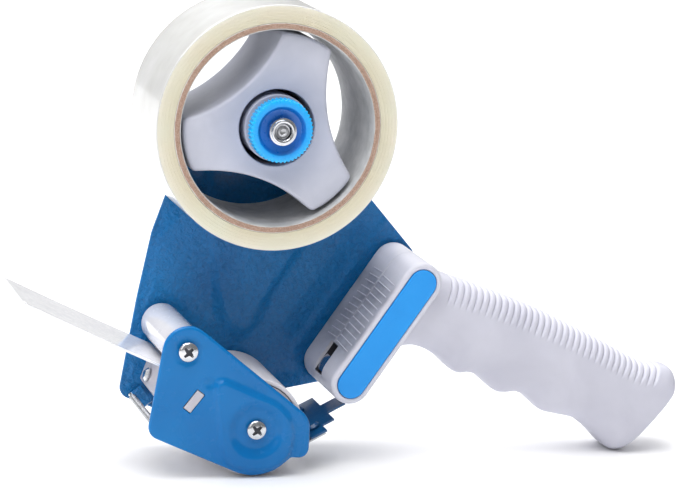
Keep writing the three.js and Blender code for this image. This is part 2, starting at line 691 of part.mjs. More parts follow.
// Blade carrier: a stepped sheet with a tab bent up into the head, and the serrated blade under it
const carrierNear = rollNear + 4;
const carrierFar = rollFar - 3.2;
function sheetOnSlope(outline, v0, v1) {
  const geometry = new THREE.ExtrudeGeometry(outline, { depth: v1 - v0, bevelEnabled: false });
  geometry.translate(0, 0, v0);
  geometry.rotateY(-THREE.MathUtils.degToRad(carrierSlope));
  return solidFrom(geometry.translate(carrierX, 0, carrierHeight));
}
function carrier() {
  const outline = new THREE.Shape([
    [-7.6, carrierNear], [-0.6, carrierNear], [-0.6, carrierNear + 7.4], [4.8, carrierNear + 7.4],
    [4.8, legY - legHalfWidth], [tabEnd + 0.4, legY - legHalfWidth], [tabEnd + 0.4, legY + legHalfWidth],
    [4.8, legY + legHalfWidth], [4.8, carrierFar], [-7.6, carrierFar],
  ].map(([u, y]) => new THREE.Vector2(u, y)));
  const half = carrierThickness / 2;
  const leg = tiltedBox(
    legFoot, 90, [0, legHeight], [-half, half], [legY - legHalfWidth, legY + legHalfWidth]);
  return cut(join(sheetOnSlope(outline, -half, half), leg), ...rivetBores());
}
const rivetPlaces = [-11, 13];
const rivetSeat = onSlope(carrierStart, carrierSlope, -4, carrierThickness / 2);
const rivetLength = carrierThickness + gap + bladeThickness + 1;
function rivetBores() {
  const radius = smallShankRadius + gap;
  return rivetPlaces.map((y) => turnedOnSlope(
    [[0, -rivetLength - 2], [radius, -rivetLength - 2], [radius, 2], [0, 2]],
    [rivetSeat[0], y, rivetSeat[1]], carrierSlope + 90));
}
function blade() {
  const teeth = [];
  const width = carrierFar - carrierNear - 2;
  const pitch = width / toothCount;
  const root = -8.6;               // foot of the teeth, down the slope
  teeth.push([-1.4, carrierNear + 1], [-1.4, carrierFar - 1]);
  for (let i = toothCount; i > 0; i -= 1) {
    const y = carrierNear + 1 + i * pitch;
    teeth.push([root, y], [root - toothDepth, y - pitch / 2]);
  }
  teeth.push([root, carrierNear + 1]);
  const outline = new THREE.Shape(teeth.map(([u, y]) => new THREE.Vector2(u, y)));
  const top = -carrierThickness / 2 - gap;
  return cut(sheetOnSlope(outline, top - bladeThickness, top), ...rivetBores());
}
add('blade_carrier', carrier(), hammeredBlue);
add('cutting_blade', blade(), darkSteel);
rivetPlaces.forEach((y, i) => {
  const base = [rivetSeat[0], y, rivetSeat[1]];
  const profile = smallScrewProfile(rivetLength);
  add(`blade_rivet_${i + 1}`, turnedOnSlope(profile, base, carrierSlope + 90), chromeSteel);
});

// Origin at the bottom centre of the whole object
const bounds = new THREE.Box3().setFromObject(dispenser);
const middle = bounds.getCenter(new THREE.Vector3());
dispenser.position.set(-middle.x, -middle.y, -bounds.min.z);

export default dispenser;
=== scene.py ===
import math

import bmesh
import bpy
import numpy as np
from mathutils import Matrix, Vector
from mathutils.geometry import delaunay_2d_cdt


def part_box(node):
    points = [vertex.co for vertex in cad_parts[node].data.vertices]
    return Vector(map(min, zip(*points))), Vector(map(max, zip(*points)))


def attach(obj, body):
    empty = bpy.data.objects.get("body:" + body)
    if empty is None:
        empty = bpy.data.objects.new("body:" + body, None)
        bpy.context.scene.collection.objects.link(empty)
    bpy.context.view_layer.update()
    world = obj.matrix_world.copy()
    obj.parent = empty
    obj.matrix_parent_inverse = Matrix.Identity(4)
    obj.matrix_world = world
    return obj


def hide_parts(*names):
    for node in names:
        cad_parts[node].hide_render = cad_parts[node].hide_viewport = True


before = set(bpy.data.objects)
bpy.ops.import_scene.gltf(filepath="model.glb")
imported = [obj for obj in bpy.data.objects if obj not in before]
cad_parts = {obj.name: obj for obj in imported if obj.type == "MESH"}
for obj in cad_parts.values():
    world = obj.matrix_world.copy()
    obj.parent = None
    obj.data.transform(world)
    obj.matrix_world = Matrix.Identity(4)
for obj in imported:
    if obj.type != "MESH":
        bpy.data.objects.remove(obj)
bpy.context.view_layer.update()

# Everything is drawn in millimetres from the roll's axis: X towards the grip's end,
# Y towards the frame plate and Z up from the table. ORIGIN carries it to the row frame.
MM = 0.001
ROLL_LOW, ROLL_HIGH = (np.array(corner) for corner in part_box("tape_roll"))
ORIGIN = np.array([(ROLL_LOW[0] + ROLL_HIGH[0]) / 2, (ROLL_LOW[1] + ROLL_HIGH[1]) / 2, 0.0])


def box(node):
    """Lowest and highest corner of a CAD node in drawing millimetres."""
    return [(np.array(corner) - ORIGIN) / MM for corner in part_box(node)]


def axis_of(*nodes):
    """X and Z of the middle of some turned nodes."""
    low = np.min([box(n)[0] for n in nodes], axis=0)
    high = np.max([box(n)[1] for n in nodes], axis=0)
    return (low[0] + high[0]) / 2, (low[2] + high[2]) / 2


# ---------------------------------------------------------------- outlines

def fillet(corners, steps=5):
    """A closed outline through [x, z, radius] corners, each turned by an arc."""
    points = []
    count = len(corners)
    for i, (x, z, radius) in enumerate(corners):
        here = np.array([x, z], float)
        back = np.array(corners[i - 1][:2], float) - here
        ahead = np.array(corners[(i + 1) % count][:2], float) - here
        back /= np.linalg.norm(back)
        ahead /= np.linalg.norm(ahead)
        half = math.acos(np.clip(back @ ahead, -1, 1)) / 2
        if radius <= 0 or half > 1.55:
            points.append(here)
            continue
        middle = back + ahead
        centre = here + middle / np.linalg.norm(middle) * radius / math.sin(half)
        start = here + back * radius / math.tan(half) - centre
        cross = back[0] * ahead[1] - back[1] * ahead[0]
        turn = (math.pi - 2 * half) * (-1 if cross > 0 else 1)
        for k in range(steps + 1):
            a = turn * k / steps
            c, s = math.cos(a), math.sin(a)
            points.append(centre + [start[0] * c - start[1] * s, start[0] * s + start[1] * c])
    return np.array(points)


def tangent_corner(centre, radius, start, end):
    """The corner between two lines that touch a circle, by their outward normals in degrees."""
    middle = math.radians((start + end) / 2)
    reach = radius / math.cos(math.radians((end - start) / 2))
    return [centre[0] + reach * math.cos(middle), centre[1] + reach * math.sin(middle), radius]


def on_tangent(centre, radius, normal, distance):
    """A point on the line that touches a circle where its outward normal is at an angle."""
    a = math.radians(normal)
    return [centre[0] + radius * math.cos(a) - distance * math.sin(a),
            centre[1] + radius * math.sin(a) + distance * math.cos(a)]


def resample(loop, step):
    """The same closed loop with evenly spaced points, counter-clockwise."""
    loop = np.asarray(loop, float)
    ring = np.vstack([loop, loop[:1]])
    along = np.r_[0, np.cumsum(np.linalg.norm(np.diff(ring, axis=0), axis=1))]
    count = max(12, int(round(along[-1] / step)))
    at = np.linspace(0, along[-1], count, endpoint=False)
    out = np.c_[np.interp(at, along, ring[:, 0]), np.interp(at, along, ring[:, 1])]
    area = np.sum(out[:, 0] * np.roll(out[:, 1], -1) - out[:, 1] * np.roll(out[:, 0], -1))
    return out if area > 0 else out[::-1]


def soften(loop, width):
    """Rounds a closed loop's corners by a running mean, width in points."""
    kernel = np.exp(-0.5 * (np.arange(-3 * width, 3 * width + 1) / width) ** 2)
    kernel /= kernel.sum()
    reach = 3 * width
    out = np.empty_like(loop)
    for axis in range(2):
        wrapped = np.r_[loop[-reach:, axis], loop[:, axis], loop[:reach, axis]]
        out[:, axis] = np.convolve(wrapped, kernel, "valid")
    return out


def inset(loop, distance):
    """A counter-clockwise loop moved inwards."""
    tangent = np.roll(loop, -1, 0) - np.roll(loop, 1, 0)
    tangent /= np.linalg.norm(tangent, axis=1)[:, None]
    return loop + np.c_[-tangent[:, 1], tangent[:, 0]] * distance


def distance_to(points, loop, closed=True):
    """How far each point lies from a polyline."""
    a = loop if closed else loop[:-1]
    b = np.roll(loop, -1, 0) if closed else loop[1:]
    best = np.full(len(points), 1e9)
    for start in range(0, len(points), 4000):
        p = points[start:start + 4000, None, :]
        d = (b - a)[None]
        t = np.clip(((p - a[None]) * d).sum(2) / np.maximum((d * d).sum(2), 1e-12), 0, 1)
        best[start:start + 4000] = np.linalg.norm(p - a[None] - t[..., None] * d, axis=2).min(1)
    return best


def inside(points, loop):
    """Which points lie inside a closed loop."""
    x, z = points[:, 0], points[:, 1]
    within = np.zeros(len(points), bool)
    for (x0, z0), (x1, z1) in zip(loop, np.roll(loop, -1, 0)):
        crosses = (z0 > z) != (z1 > z)
        if z1 != z0:
            within ^= crosses & (x < (x1 - x0) * (z - z0) / (z1 - z0) + x0)
    return within


def signed(points, loop):
    """Distance inside a loop, negative outside it."""
    d = distance_to(points, np.asarray(loop, float))
    return np.where(inside(points, np.asarray(loop, float)), d, -d)


def smooth(value, low, high):
    t = np.clip((value - low) / (high - low), 0, 1)
    return t * t * (3 - 2 * t)


def edge_fall(d, radius):
    """How far a rounded edge falls back at distance d inside it."""
    t = np.clip(radius - d, 0, radius)
    return radius - np.sqrt(np.maximum(radius * radius - t * t, 0))


def circle(centre, radius, count=48):
    a = np.linspace(0, 2 * math.pi, count, endpoint=False)
    return np.c_[centre[0] + radius * np.cos(a), centre[1] + radius * np.sin(a)]


def stadium(start, end, radius, arc=20, straight=16):
    """A slot-shaped loop round a line; the same counts at every radius."""
    start, end = np.array(start, float), np.array(end, float)
    along = math.atan2(*(end - start)[::-1])
    a = np.linspace(-math.pi / 2, math.pi / 2, arc) + along
    far = end + radius * np.c_[np.cos(a), np.sin(a)]
    near = start + radius * np.c_[np.cos(a + math.pi), np.sin(a + math.pi)]
    t = np.linspace(0, 1, straight + 2)[1:-1, None]
    return np.vstack([far, far[-1] + (near[0] - far[-1]) * t, near, near[-1] + (far[0] - near[-1]) * t])


# ---------------------------------------------------------------- meshes

def piece(name, verts, faces, material, body, slot, nodes=(), sharp=35, flat=False):
    """A visible piece from drawing millimetres, riding on a body and standing for CAD nodes."""
    mesh = bpy.data.meshes.new(name)
    mesh.from_pydata((np.asarray(verts, float) * MM + ORIGIN).tolist(), [], [list(f) for f in faces])
    work = bmesh.new()
    work.from_mesh(mesh)
    bmesh.ops.remove_doubles(work, verts=work.verts, dist=1e-7)
    bmesh.ops.recalc_face_normals(work, faces=work.faces)
    work.to_mesh(mesh)
    work.free()
    mesh.shade_smooth()
    mesh.set_sharp_from_angle(angle=math.radians(sharp))
    mesh.materials.append(material)
    obj = bpy.data.objects.new(name, mesh)
    bpy.context.scene.collection.objects.link(obj)
    if not flat:
        obj.modifiers.new("even_normals", "WEIGHTED_NORMAL").keep_sharp = True
    if nodes:
        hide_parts(*nodes)
    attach(obj, body)
    return obj


def lathe(profile, axis, count=96, closed=True, radial=None):
    """A profile of (radius, y) turned about Y; a radius of 0 is a pole."""
    angles = np.linspace(0, 2 * math.pi, count, endpoint=False)
    verts, rows, faces = [], [], []
    for i, (r, y) in enumerate(profile):
        if r < 1e-6:
            rows.append([len(verts)])
            verts.append((axis[0], y, axis[1]))
            continue
        rr = np.full(count, float(r)) if radial is None else radial(i, r, angles)
        rows.append(list(range(len(verts), len(verts) + count)))
        x, z = axis[0] + rr * np.cos(angles), axis[1] + rr * np.sin(angles)
        verts.extend(zip(x, np.full(count, float(y)), z))
    pairs = list(zip(rows, rows[1:])) + ([(rows[-1], rows[0])] if closed else [])
    for a, b in pairs:
        for k in range(count):
            n = (k + 1) % count
            if len(a) == 1 and len(b) == 1:
                continue
            if len(a) == 1:
                faces.append((a[0], b[k], b[n]))
            elif len(b) == 1:
                faces.append((a[k], a[n], b[0]))
            else:
                faces.append((a[k], a[n], b[n], b[k]))
    return np.array(verts), faces


def softened(profile, radius, steps=4):
    """A lathe profile with its corners rounded; corners on the axis stay."""
    corners = [(r, y, 0 if r < 1e-6 else radius) for r, y in profile]
    return fillet(corners, steps)


def sheet(outline, front, back, holes=(), spacing=2.0, rings=(0.1, 0.3, 0.6, 1.0), creases=()):
    """A body between two height fields over an outline, as verts (x, y, z) and faces."""
    loops = [outline] + [inset(outline, d) for d in rings]
    for hole in holes:
        loops.append(hole)
        loops.extend(inset(hole, -d) for d in rings[:2])
    loops.extend(creases)
    low, high = outline.min(0), outline.max(0)
    gx, gz = np.meshgrid(np.arange(low[0], high[0], spacing), np.arange(low[1], high[1], spacing * 0.87))
    gx = gx + (np.arange(gx.shape[0])[:, None] % 2) * spacing / 2
    grid = np.c_[gx.ravel(), gz.ravel()]
    grid = grid[inside(grid, outline)]
    near = distance_to(grid, np.vstack(loops), closed=False)
    grid = grid[near > spacing * 0.45]
    points, edges = [], []
    for loop in loops:
        start = len(points)
        points.extend(loop.tolist())
        size = len(loop)
        edges.extend((start + k, start + (k + 1) % size) for k in range(size))
    points.extend(grid.tolist())
    verts2, _, tris, *_ = delaunay_2d_cdt([Vector(p) for p in points], edges, [], 0, 1e-4)
    verts2 = np.array([tuple(v) for v in verts2])
    tris = np.array(tris)
    middles = verts2[tris].mean(1)
    keep = inside(middles, outline)
    for hole in holes:
        keep &= ~inside(middles, hole)
    tris = tris[keep]
    used, flat = np.unique(tris, return_inverse=True)
    verts2, tris = verts2[used], flat.reshape(-1, 3)
    d = distance_to(verts2, outline)
    hole_d = np.full(len(verts2), 1e9)
    for hole in holes:
        hole_d = np.minimum(hole_d, distance_to(verts2, hole))
    y_front, y_back = front(verts2, d, hole_d), back(verts2, d, hole_d)
    count = len(verts2)
    verts = np.vstack([np.c_[verts2[:, 0], y, verts2[:, 1]] for y in (y_front, y_back)])
    faces = [tuple(t) for t in tris] + [(t[0] + count, t[2] + count, t[1] + count) for t in tris]
    seen = {}
    for t in tris:
        for a, b in ((t[0], t[1]), (t[1], t[2]), (t[2], t[0])):
            seen[(a, b)] = True
    faces += [(b, a, a + count, b + count) for a, b in seen if (b, a) not in seen]
    return verts, faces


def sweep_rings(rings, caps=True):
    """A skin through rings of equal length."""
    count = len(rings[0])
    verts = np.vstack(rings)
    faces = []
    for i in range(len(rings) - 1):
        for k in range(count):
            n = (k + 1) % count
            faces.append((i * count + k, i * count + n, (i + 1) * count + n, (i + 1) * count + k))
    if caps:
        faces.append(tuple(range(count))[::-1])
        faces.append(tuple(range((len(rings) - 1) * count, len(rings) * count)))
    return verts, faces


def tube(path, radius, sides=8):
    """A round wire along a path, closed at both ends."""
    path = np.asarray(path, float)
    tangent = np.gradient(path, axis=0)
    tangent /= np.linalg.norm(tangent, axis=1)[:, None]
    helper = np.array([0.0, 1.0, 0.0])
    rings = []
    for p, t in zip(path, tangent):
        u = np.cross(helper, t)
        if np.linalg.norm(u) < 1e-3:
            u = np.cross([1.0, 0, 0], t)
        u /= np.linalg.norm(u)
        v = np.cross(t, u)
        a = np.linspace(0, 2 * math.pi, sides, endpoint=False)
        rings.append(p + radius * (np.cos(a)[:, None] * u + np.sin(a)[:, None] * v))
    return sweep_rings(rings)


def carve(obj, *cutters):
    """Takes the cutters' volumes out of a piece for good."""
    for verts, faces in cutters:
        mesh = bpy.data.meshes.new("cutter")
        mesh.from_pydata((np.asarray(verts, float) * MM + ORIGIN).tolist(), [], [list(f) for f in faces])
        work = bmesh.new()
        work.from_mesh(mesh)
        bmesh.ops.recalc_face_normals(work, faces=work.faces)
        work.to_mesh(mesh)
        work.free()
        tool = bpy.data.objects.new("cutter", mesh)
        bpy.context.scene.collection.objects.link(tool)
        kept = [m.show_viewport for m in obj.modifiers]
        for m in obj.modifiers:
            m.show_viewport = False
        step = obj.modifiers.new("cut", "BOOLEAN")
        step.operation, step.object, step.solver = "DIFFERENCE", tool, "EXACT"
        bpy.context.view_layer.update()
        done = bpy.data.meshes.new_from_object(obj.evaluated_get(bpy.context.evaluated_depsgraph_get()))
        obj.modifiers.remove(step)
        for m, shown in zip(obj.modifiers, kept):
            m.show_viewport = shown
        obj.data = done
        bpy.data.objects.remove(tool)
    obj.data.set_sharp_from_angle(angle=math.radians(35))


def slope_box(at, slope, u, v, y):
    """A box in a frame tilted in the X-Z plane."""
    a = math.radians(slope)
    along, across = np.array([math.cos(a), math.sin(a)]), np.array([-math.sin(a), math.cos(a)])
    verts = []
    for yy in y:
        for uu, vv in ((u[0], v[0]), (u[1], v[0]), (u[1], v[1]), (u[0], v[1])):
            p = np.array(at) + along * uu + across * vv
            verts.append((p[0], yy, p[1]))
    return verts, [(0, 1, 2, 3), (7, 6, 5, 4), (0, 4, 5, 1), (1, 5, 6, 2), (2, 6, 7, 3), (3, 7, 4, 0)]


# ---------------------------------------------------------------- materials

def srgb(r, g, b):
    return tuple((c / 255 / 12.92 if c / 255 <= 0.04045 else ((c / 255 + 0.055) / 1.055) ** 2.4)
                 for c in (r, g, b)) + (1.0,)


class Finish:
    """A Principled material built up from procedural textures."""

    def __init__(self, name, rough=0.5, metal=0.0, coat=0.0, coat_rough=0.1, specular=0.5, soft=0.0):
        self.material = bpy.data.materials.new(name)
        self.material.use_nodes = True
        self.tree = self.material.node_tree
        self.shader = next(n for n in self.tree.nodes if n.type == "BSDF_PRINCIPLED")
        for socket, value in (("Metallic", metal), ("Roughness", rough), ("Coat Weight", coat),
                              ("Coat Roughness", coat_rough), ("Specular IOR Level", specular),
                              ("Subsurface Weight", soft)):
            self.shader.inputs[socket].default_value = value
        if soft:
            self.shader.inputs["Subsurface Radius"].default_value = (0.004, 0.004, 0.005)
            self.shader.inputs["Subsurface Scale"].default_value = 0.6
        self.place = self.node("ShaderNodeTexCoord").outputs["Object"]

    def node(self, kind, **values):
        made = self.tree.nodes.new(kind)
        for key, value in values.items():
            setattr(made, key, value)
        return made

    def link(self, start, end):
        self.tree.links.new(start, end)

    def noise(self, size, detail=4.0, rough=0.55, stretch=(1, 1, 1), distortion=0.0):
        """Noise with features about size millimetres across."""
        shift = self.node("ShaderNodeMapping")
        self.link(self.place, shift.inputs["Vector"])
        shift.inputs["Scale"].default_value = stretch
        made = self.node("ShaderNodeTexNoise")
        self.link(shift.outputs["Vector"], made.inputs["Vector"])
        made.inputs["Scale"].default_value = 1 / (size * MM)
        made.inputs["Detail"].default_value = detail
        made.inputs["Roughness"].default_value = rough
        made.inputs["Distortion"].default_value = distortion
        return made.outputs[0]

    def cells(self, size, feature="SMOOTH_F1"):
        made = self.node("ShaderNodeTexVoronoi", feature=feature)
        self.link(self.place, made.inputs["Vector"])
        made.inputs["Scale"].default_value = 1 / (size * MM)
        return made.outputs["Distance"]

    def math(self, operation, a, b=0.0, c=0.0):
        made = self.node("ShaderNodeMath", operation=operation)
        for socket, value in zip(made.inputs, (a, b, c)):
            if hasattr(value, "links"):
                self.link(value, socket)
            else:
                socket.default_value = value
        return made.outputs[0]

    def spread(self, value, low, high, out_low=0.0, out_high=1.0):
        made = self.node("ShaderNodeMapRange")
        self.link(value, made.inputs["Value"])
        for key, number in (("From Min", low), ("From Max", high), ("To Min", out_low), ("To Max", out_high)):
            made.inputs[key].default_value = number
        return made.outputs[0]

    def ramp(self, value, stops):
        made = self.node("ShaderNodeValToRGB")
        self.link(value, made.inputs["Fac"])
        elements = made.color_ramp.elements
        while len(elements) < len(stops):
            elements.new(0.5)
        for element, (at, colour) in zip(elements, stops):
            element.position, element.color = at, colour
        return made.outputs["Color"]

    def mix(self, fac, a, b, blend="MIX"):
        made = self.node("ShaderNodeMix", data_type="RGBA", blend_type=blend)
        for socket, value in ((made.inputs[0], fac), (made.inputs[6], a), (made.inputs[7], b)):
            if hasattr(value, "links"):
                self.link(value, socket)
            else:
                socket.default_value = value
        return made.outputs[2]

    def radius(self, axis):
        """Distance from an axis along Y, in millimetres."""
        centre = self.node("ShaderNodeVectorMath", operation="SUBTRACT")
        self.link(self.place, centre.inputs[0])
        centre.inputs[1].default_value = (axis[0] * MM + ORIGIN[0], 0, axis[1] * MM + ORIGIN[2])
        level = self.node("ShaderNodeVectorMath", operation="MULTIPLY")
        self.link(centre.outputs[0], level.inputs[0])
        level.inputs[1].default_value = (1000, 0, 1000)
        length = self.node("ShaderNodeVectorMath", operation="LENGTH")
        self.link(level.outputs[0], length.inputs[0])
        return length.outputs["Value"]

    def colour(self, value):
        self.link(value, self.shader.inputs["Base Color"])

    def roughness(self, value):
        self.link(value, self.shader.inputs["Roughness"])

    def bump(self, height, depth, strength=1.0):
        """Relief with depth in millimetres."""
        made = self.node("ShaderNodeBump")
        made.inputs["Strength"].default_value = strength
        made.inputs["Distance"].default_value = depth * MM
        self.link(height, made.inputs["Height"])
        self.link(made.outputs[0], self.shader.inputs["Normal"])


def moulded(name, dark, light, rough=0.42, grain=0.35, depth=0.012, soft=0.0, coat=0.0):
    """Moulded plastic: faint flow marks, a fine satin grain and small scuffs."""
    f = Finish(name, rough, coat=coat, soft=soft)
    flow = f.noise(26, 3, 0.5, (1, 1, 1), 0.4)
    scuff = f.noise(2.2, 6, 0.7)
    tone = f.ramp(f.spread(flow, 0.3, 0.7), [(0, dark), (1, light)])
    f.colour(f.mix(f.spread(scuff, 0.62, 0.8, 0, 0.25), tone, tuple(c * 0.8 for c in dark[:3]) + (1,)))
    f.roughness(f.spread(scuff, 0.3, 0.75, rough - 0.06, rough + 0.12))
    f.bump(f.noise(grain, 3, 0.6), depth)
    return f.material


def bright_steel(name, tone=(214, 216, 220), rough=0.16, brushed=(1, 1, 1)):
    """Plated steel with fine polishing marks and faint stains."""
    f = Finish(name, rough, metal=1.0)
    marks = f.noise(0.5, 4, 0.6, brushed)
    stain = f.noise(5, 4, 0.6)
    base = srgb(*tone)
    dull = tuple(c * 0.72 for c in base[:3]) + (1,)
    f.colour(f.ramp(f.spread(stain, 0.35, 0.7), [(0, base), (1, dull)]))
    f.roughness(f.spread(marks, 0.3, 0.7, rough - 0.05, rough + 0.12))
    f.bump(marks, 0.006)
    return f.material


def hammered(name, dark, light, size=1.5, depth=0.10, coat=0.22):
    """Wrinkle-finish enamel: small rounded hills, with painted shade darkening the hollows."""
    f = Finish(name, 0.34, coat=coat, coat_rough=0.12, specular=0.3)
    hills = f.cells(size)
    wrinkle = f.noise(size * 0.9, 3, 0.6, (1, 1, 1), 1.2)
    relief = f.math("ADD", f.math("MULTIPLY", hills, 0.8), wrinkle)
    broad = f.noise(34, 3, 0.5)
    tone = f.ramp(f.spread(broad, 0.3, 0.7), [(0, dark), (1, light)])
    # painted shade: up to 28% of a darker tone mixed in where the wrinkles dip
    hollow = f.mix(f.spread(wrinkle, 0.35, 0.6, 0.28, 0), tone, tuple(c * 0.55 for c in dark[:3]) + (1,))
    f.colour(hollow)
    f.roughness(f.spread(wrinkle, 0.3, 0.7, 0.28, 0.42))
    f.bump(relief, depth)
    return f.material


def gloss_enamel(name, dark, light):
    """Smooth gloss enamel with faint orange peel and a few dust specks."""
    f = Finish(name, 0.22, coat=0.18, coat_rough=0.04, specular=0.2)
    broad = f.noise(40, 2, 0.5)
    speck = f.noise(0.7, 2, 0.5)
    tone = f.ramp(f.spread(broad, 0.3, 0.7), [(0, dark), (1, light)])
    f.colour(f.mix(f.spread(speck, 0.74, 0.8, 0, 0.35), tone, tuple(c * 0.6 for c in dark[:3]) + (1,)))
    f.roughness(f.spread(f.noise(6, 3, 0.5), 0.3, 0.7, 0.18, 0.3))
    f.bump(f.noise(3.2, 2, 0.5), 0.012)
    return f.material


frame_paint = hammered("frame_paint", srgb(0, 104, 170), srgb(6, 122, 190), 2.1, 0.9)
carrier_paint = hammered("carrier_paint", srgb(4, 66, 112), srgb(16, 88, 140), 2.4, 0.06, 0.5)
plate_gloss = gloss_enamel("plate_gloss", srgb(0, 104, 172), srgb(6, 116, 184))
grey_plastic = moulded("grey_plastic", srgb(178, 176, 186), srgb(200, 198, 206), 0.38, soft=0.05)
handle_plastic = moulded("handle_plastic", srgb(190, 190, 203), srgb(204, 204, 216), 0.46, 0.5, 0.02,
                         soft=0.08)
roller_gloss = moulded("roller_gloss", srgb(204, 204, 212), srgb(222, 222, 228), 0.2, 0.35, 0.006, coat=0.8)
# dark plastic that stands for painted shade inside the latch window
pocket_shade = moulded("pocket_shade", srgb(40, 42, 50), srgb(66, 68, 78), 0.5)
roller_rubber = moulded("roller_rubber", srgb(206, 204, 210), srgb(224, 222, 228), 0.5, 0.25, 0.015)
inlay_plastic = moulded("inlay_plastic", srgb(8, 140, 224), srgb(20, 152, 234), 0.5, 0.22, 0.01)
leaf_plastic = moulded("leaf_plastic", srgb(236, 236, 240), srgb(246, 246, 249), 0.12, 2.0, 0.004, coat=0.6)
chrome_steel = bright_steel("chrome_steel")
spring_steel = bright_steel("spring_steel", (196, 198, 202), 0.24)
blade_steel = bright_steel("blade_steel", (170, 173, 178), 0.26, (1, 0.1, 1))
zinc_steel = bright_steel("zinc_steel", (186, 188, 192), 0.3)
# dark steel that stands for painted shade in the screws' cross recesses
recess_shade_steel = bright_steel("recess_shade_steel", (74, 76, 82), 0.4)


def hub_finish():
    """Satin grey moulding with flow marks, and painted shade that darkens it to a bluish grey towards its
    middle.
    """
    f = Finish("hub_plastic", 0.4, soft=0.05)
    r = f.radius(axis_of("tape_core"))
    flow = f.noise(18, 3, 0.5, (1, 1, 1), 0.6)
    tone = f.ramp(f.spread(flow, 0.3, 0.7), [(0, srgb(180, 183, 197)), (1, srgb(196, 198, 211))])
    # painted shade: a bluish darker grey mixed in towards the middle, fading out by 30 mm from the axis
    centre_shade = f.mix(f.spread(r, 14, 30, 0.35, 0), tone, srgb(150, 158, 184))
    f.colour(centre_shade)
    scuff = f.noise(2.4, 6, 0.7)
    f.roughness(f.spread(scuff, 0.3, 0.75, 0.34, 0.5))
    f.bump(f.noise(0.4, 3, 0.6), 0.012)
    return f.material


def knob_finish(axis):
    """Translucent-looking blue, with painted light: a painted highlight paler at the knurled rim and painted
    shade deeper in the dish.
    """
    f = Finish("knob_plastic", 0.3, coat=0.3, soft=0.1)
    r = f.radius(axis)
    # painted light by radius: deep blue shade in the dish, pale lit cyan towards the rim
    tone = f.ramp(f.spread(r, 4, 13), [(0, srgb(0, 88, 176)), (0.55, srgb(0, 104, 196)),
                                       (0.64, srgb(0, 158, 238)), (1, srgb(14, 188, 252))])
    speckle = f.noise(1.4, 5, 0.65)
    f.colour(f.mix(f.spread(speckle, 0.55, 0.8, 0, 0.3), tone, srgb(0, 92, 182)))
    f.roughness(f.spread(speckle, 0.3, 0.7, 0.24, 0.4))
    f.bump(f.noise(0.5, 3, 0.6), 0.012)
    return f.material


def tape_finish(axis, inner, outer):
    """Wound clear film: hair-fine turns on the ends, cream where the light goes through many."""
    f = Finish("tape_film", 0.22, coat=0.35, coat_rough=0.08, soft=0.25)
    r = f.radius(axis)
    turns = f.math("SINE", f.math("MULTIPLY", r, 21.0))
    fine = f.math("SINE", f.math("ADD", f.math("MULTIPLY", r, 67.0), f.noise(9, 2, 0.5)))
    drift = f.noise(22, 3, 0.55)
    ends = f.spread(r, outer - 0.12, outer - 0.4)
    depth = f.spread(r, inner, outer)
    body = f.ramp(depth, [(0, srgb(216, 207, 180)), (0.55, srgb(226, 219, 197)),
                          (0.93, srgb(234, 229, 213)), (0.985, srgb(238, 237, 232))])
    warm = f.mix(f.spread(drift, 0.4, 0.65, 0, 0.5), body, srgb(222, 224, 204))
    lines = f.math("ADD", f.math("MULTIPLY", turns, 0.5), f.math("MULTIPLY", fine, 0.5))
    marks = f.math("MULTIPLY", lines, ends)
    sides = f.mix(f.spread(marks, -1, 1, 0, 0.10), warm, srgb(186, 174, 140))
    film = f.ramp(f.spread(drift, 0.3, 0.7), [(0, srgb(186, 186, 183)), (1, srgb(204, 204, 204))])
    f.colour(f.mix(ends, film, sides))
    f.roughness(f.spread(marks, -1, 1, 0.2, 0.34))
    f.bump(f.math("ADD", marks, f.math("MULTIPLY", drift, 0.4)), 0.02)
    return f.material


def core_finish(axis, inner, outer):
    """Spiral-wound board: brown fibre between thin pale papers, and a pale paper lining."""
    f = Finish("cardboard", 0.85, specular=0.25)
    r = f.radius(axis)
    wobble = f.math("MULTIPLY", f.math("SUBTRACT", f.noise(3, 4, 0.7), 0.5), 0.5)
    across = f.spread(f.math("ADD", r, wobble), inner, outer)
    fibre = f.noise(0.55, 5, 0.75)
    brown = f.ramp(f.spread(fibre, 0.3, 0.7), [(0, srgb(140, 108, 92)), (1, srgb(196, 170, 154))])
    paper = f.ramp(f.spread(f.noise(7, 5, 0.6), 0.3, 0.7),
                   [(0, srgb(176, 178, 178)), (1, srgb(206, 206, 206))])
    black, white = (0, 0, 0, 1), (1, 1, 1, 1)
    skin = f.ramp(across, [(0.0, black), (0.12, black), (0.17, white), (0.9, white)])
    lined = f.mix(skin, paper, brown)
    rim = f.ramp(across, [(0.86, black), (0.93, white)])
    f.colour(f.mix(rim, lined, srgb(238, 234, 230)))
    f.roughness(f.spread(fibre, 0.3, 0.7, 0.75, 0.95))
    f.bump(f.math("ADD", fibre, f.math("MULTIPLY", f.noise(6, 3, 0.6), 0.7)), 0.12)
    return f.material


def felt_finish():
    f = Finish("felt", 0.95, specular=0.2)
    fibre = f.noise(0.35, 5, 0.75)
    f.colour(f.ramp(f.spread(fibre, 0.3, 0.7), [(0, srgb(44, 44, 50)), (1, srgb(84, 84, 92))]))
    f.roughness(f.spread(fibre, 0.3, 0.7, 0.85, 1.0))
    f.bump(fibre, 0.15)
    return f.material


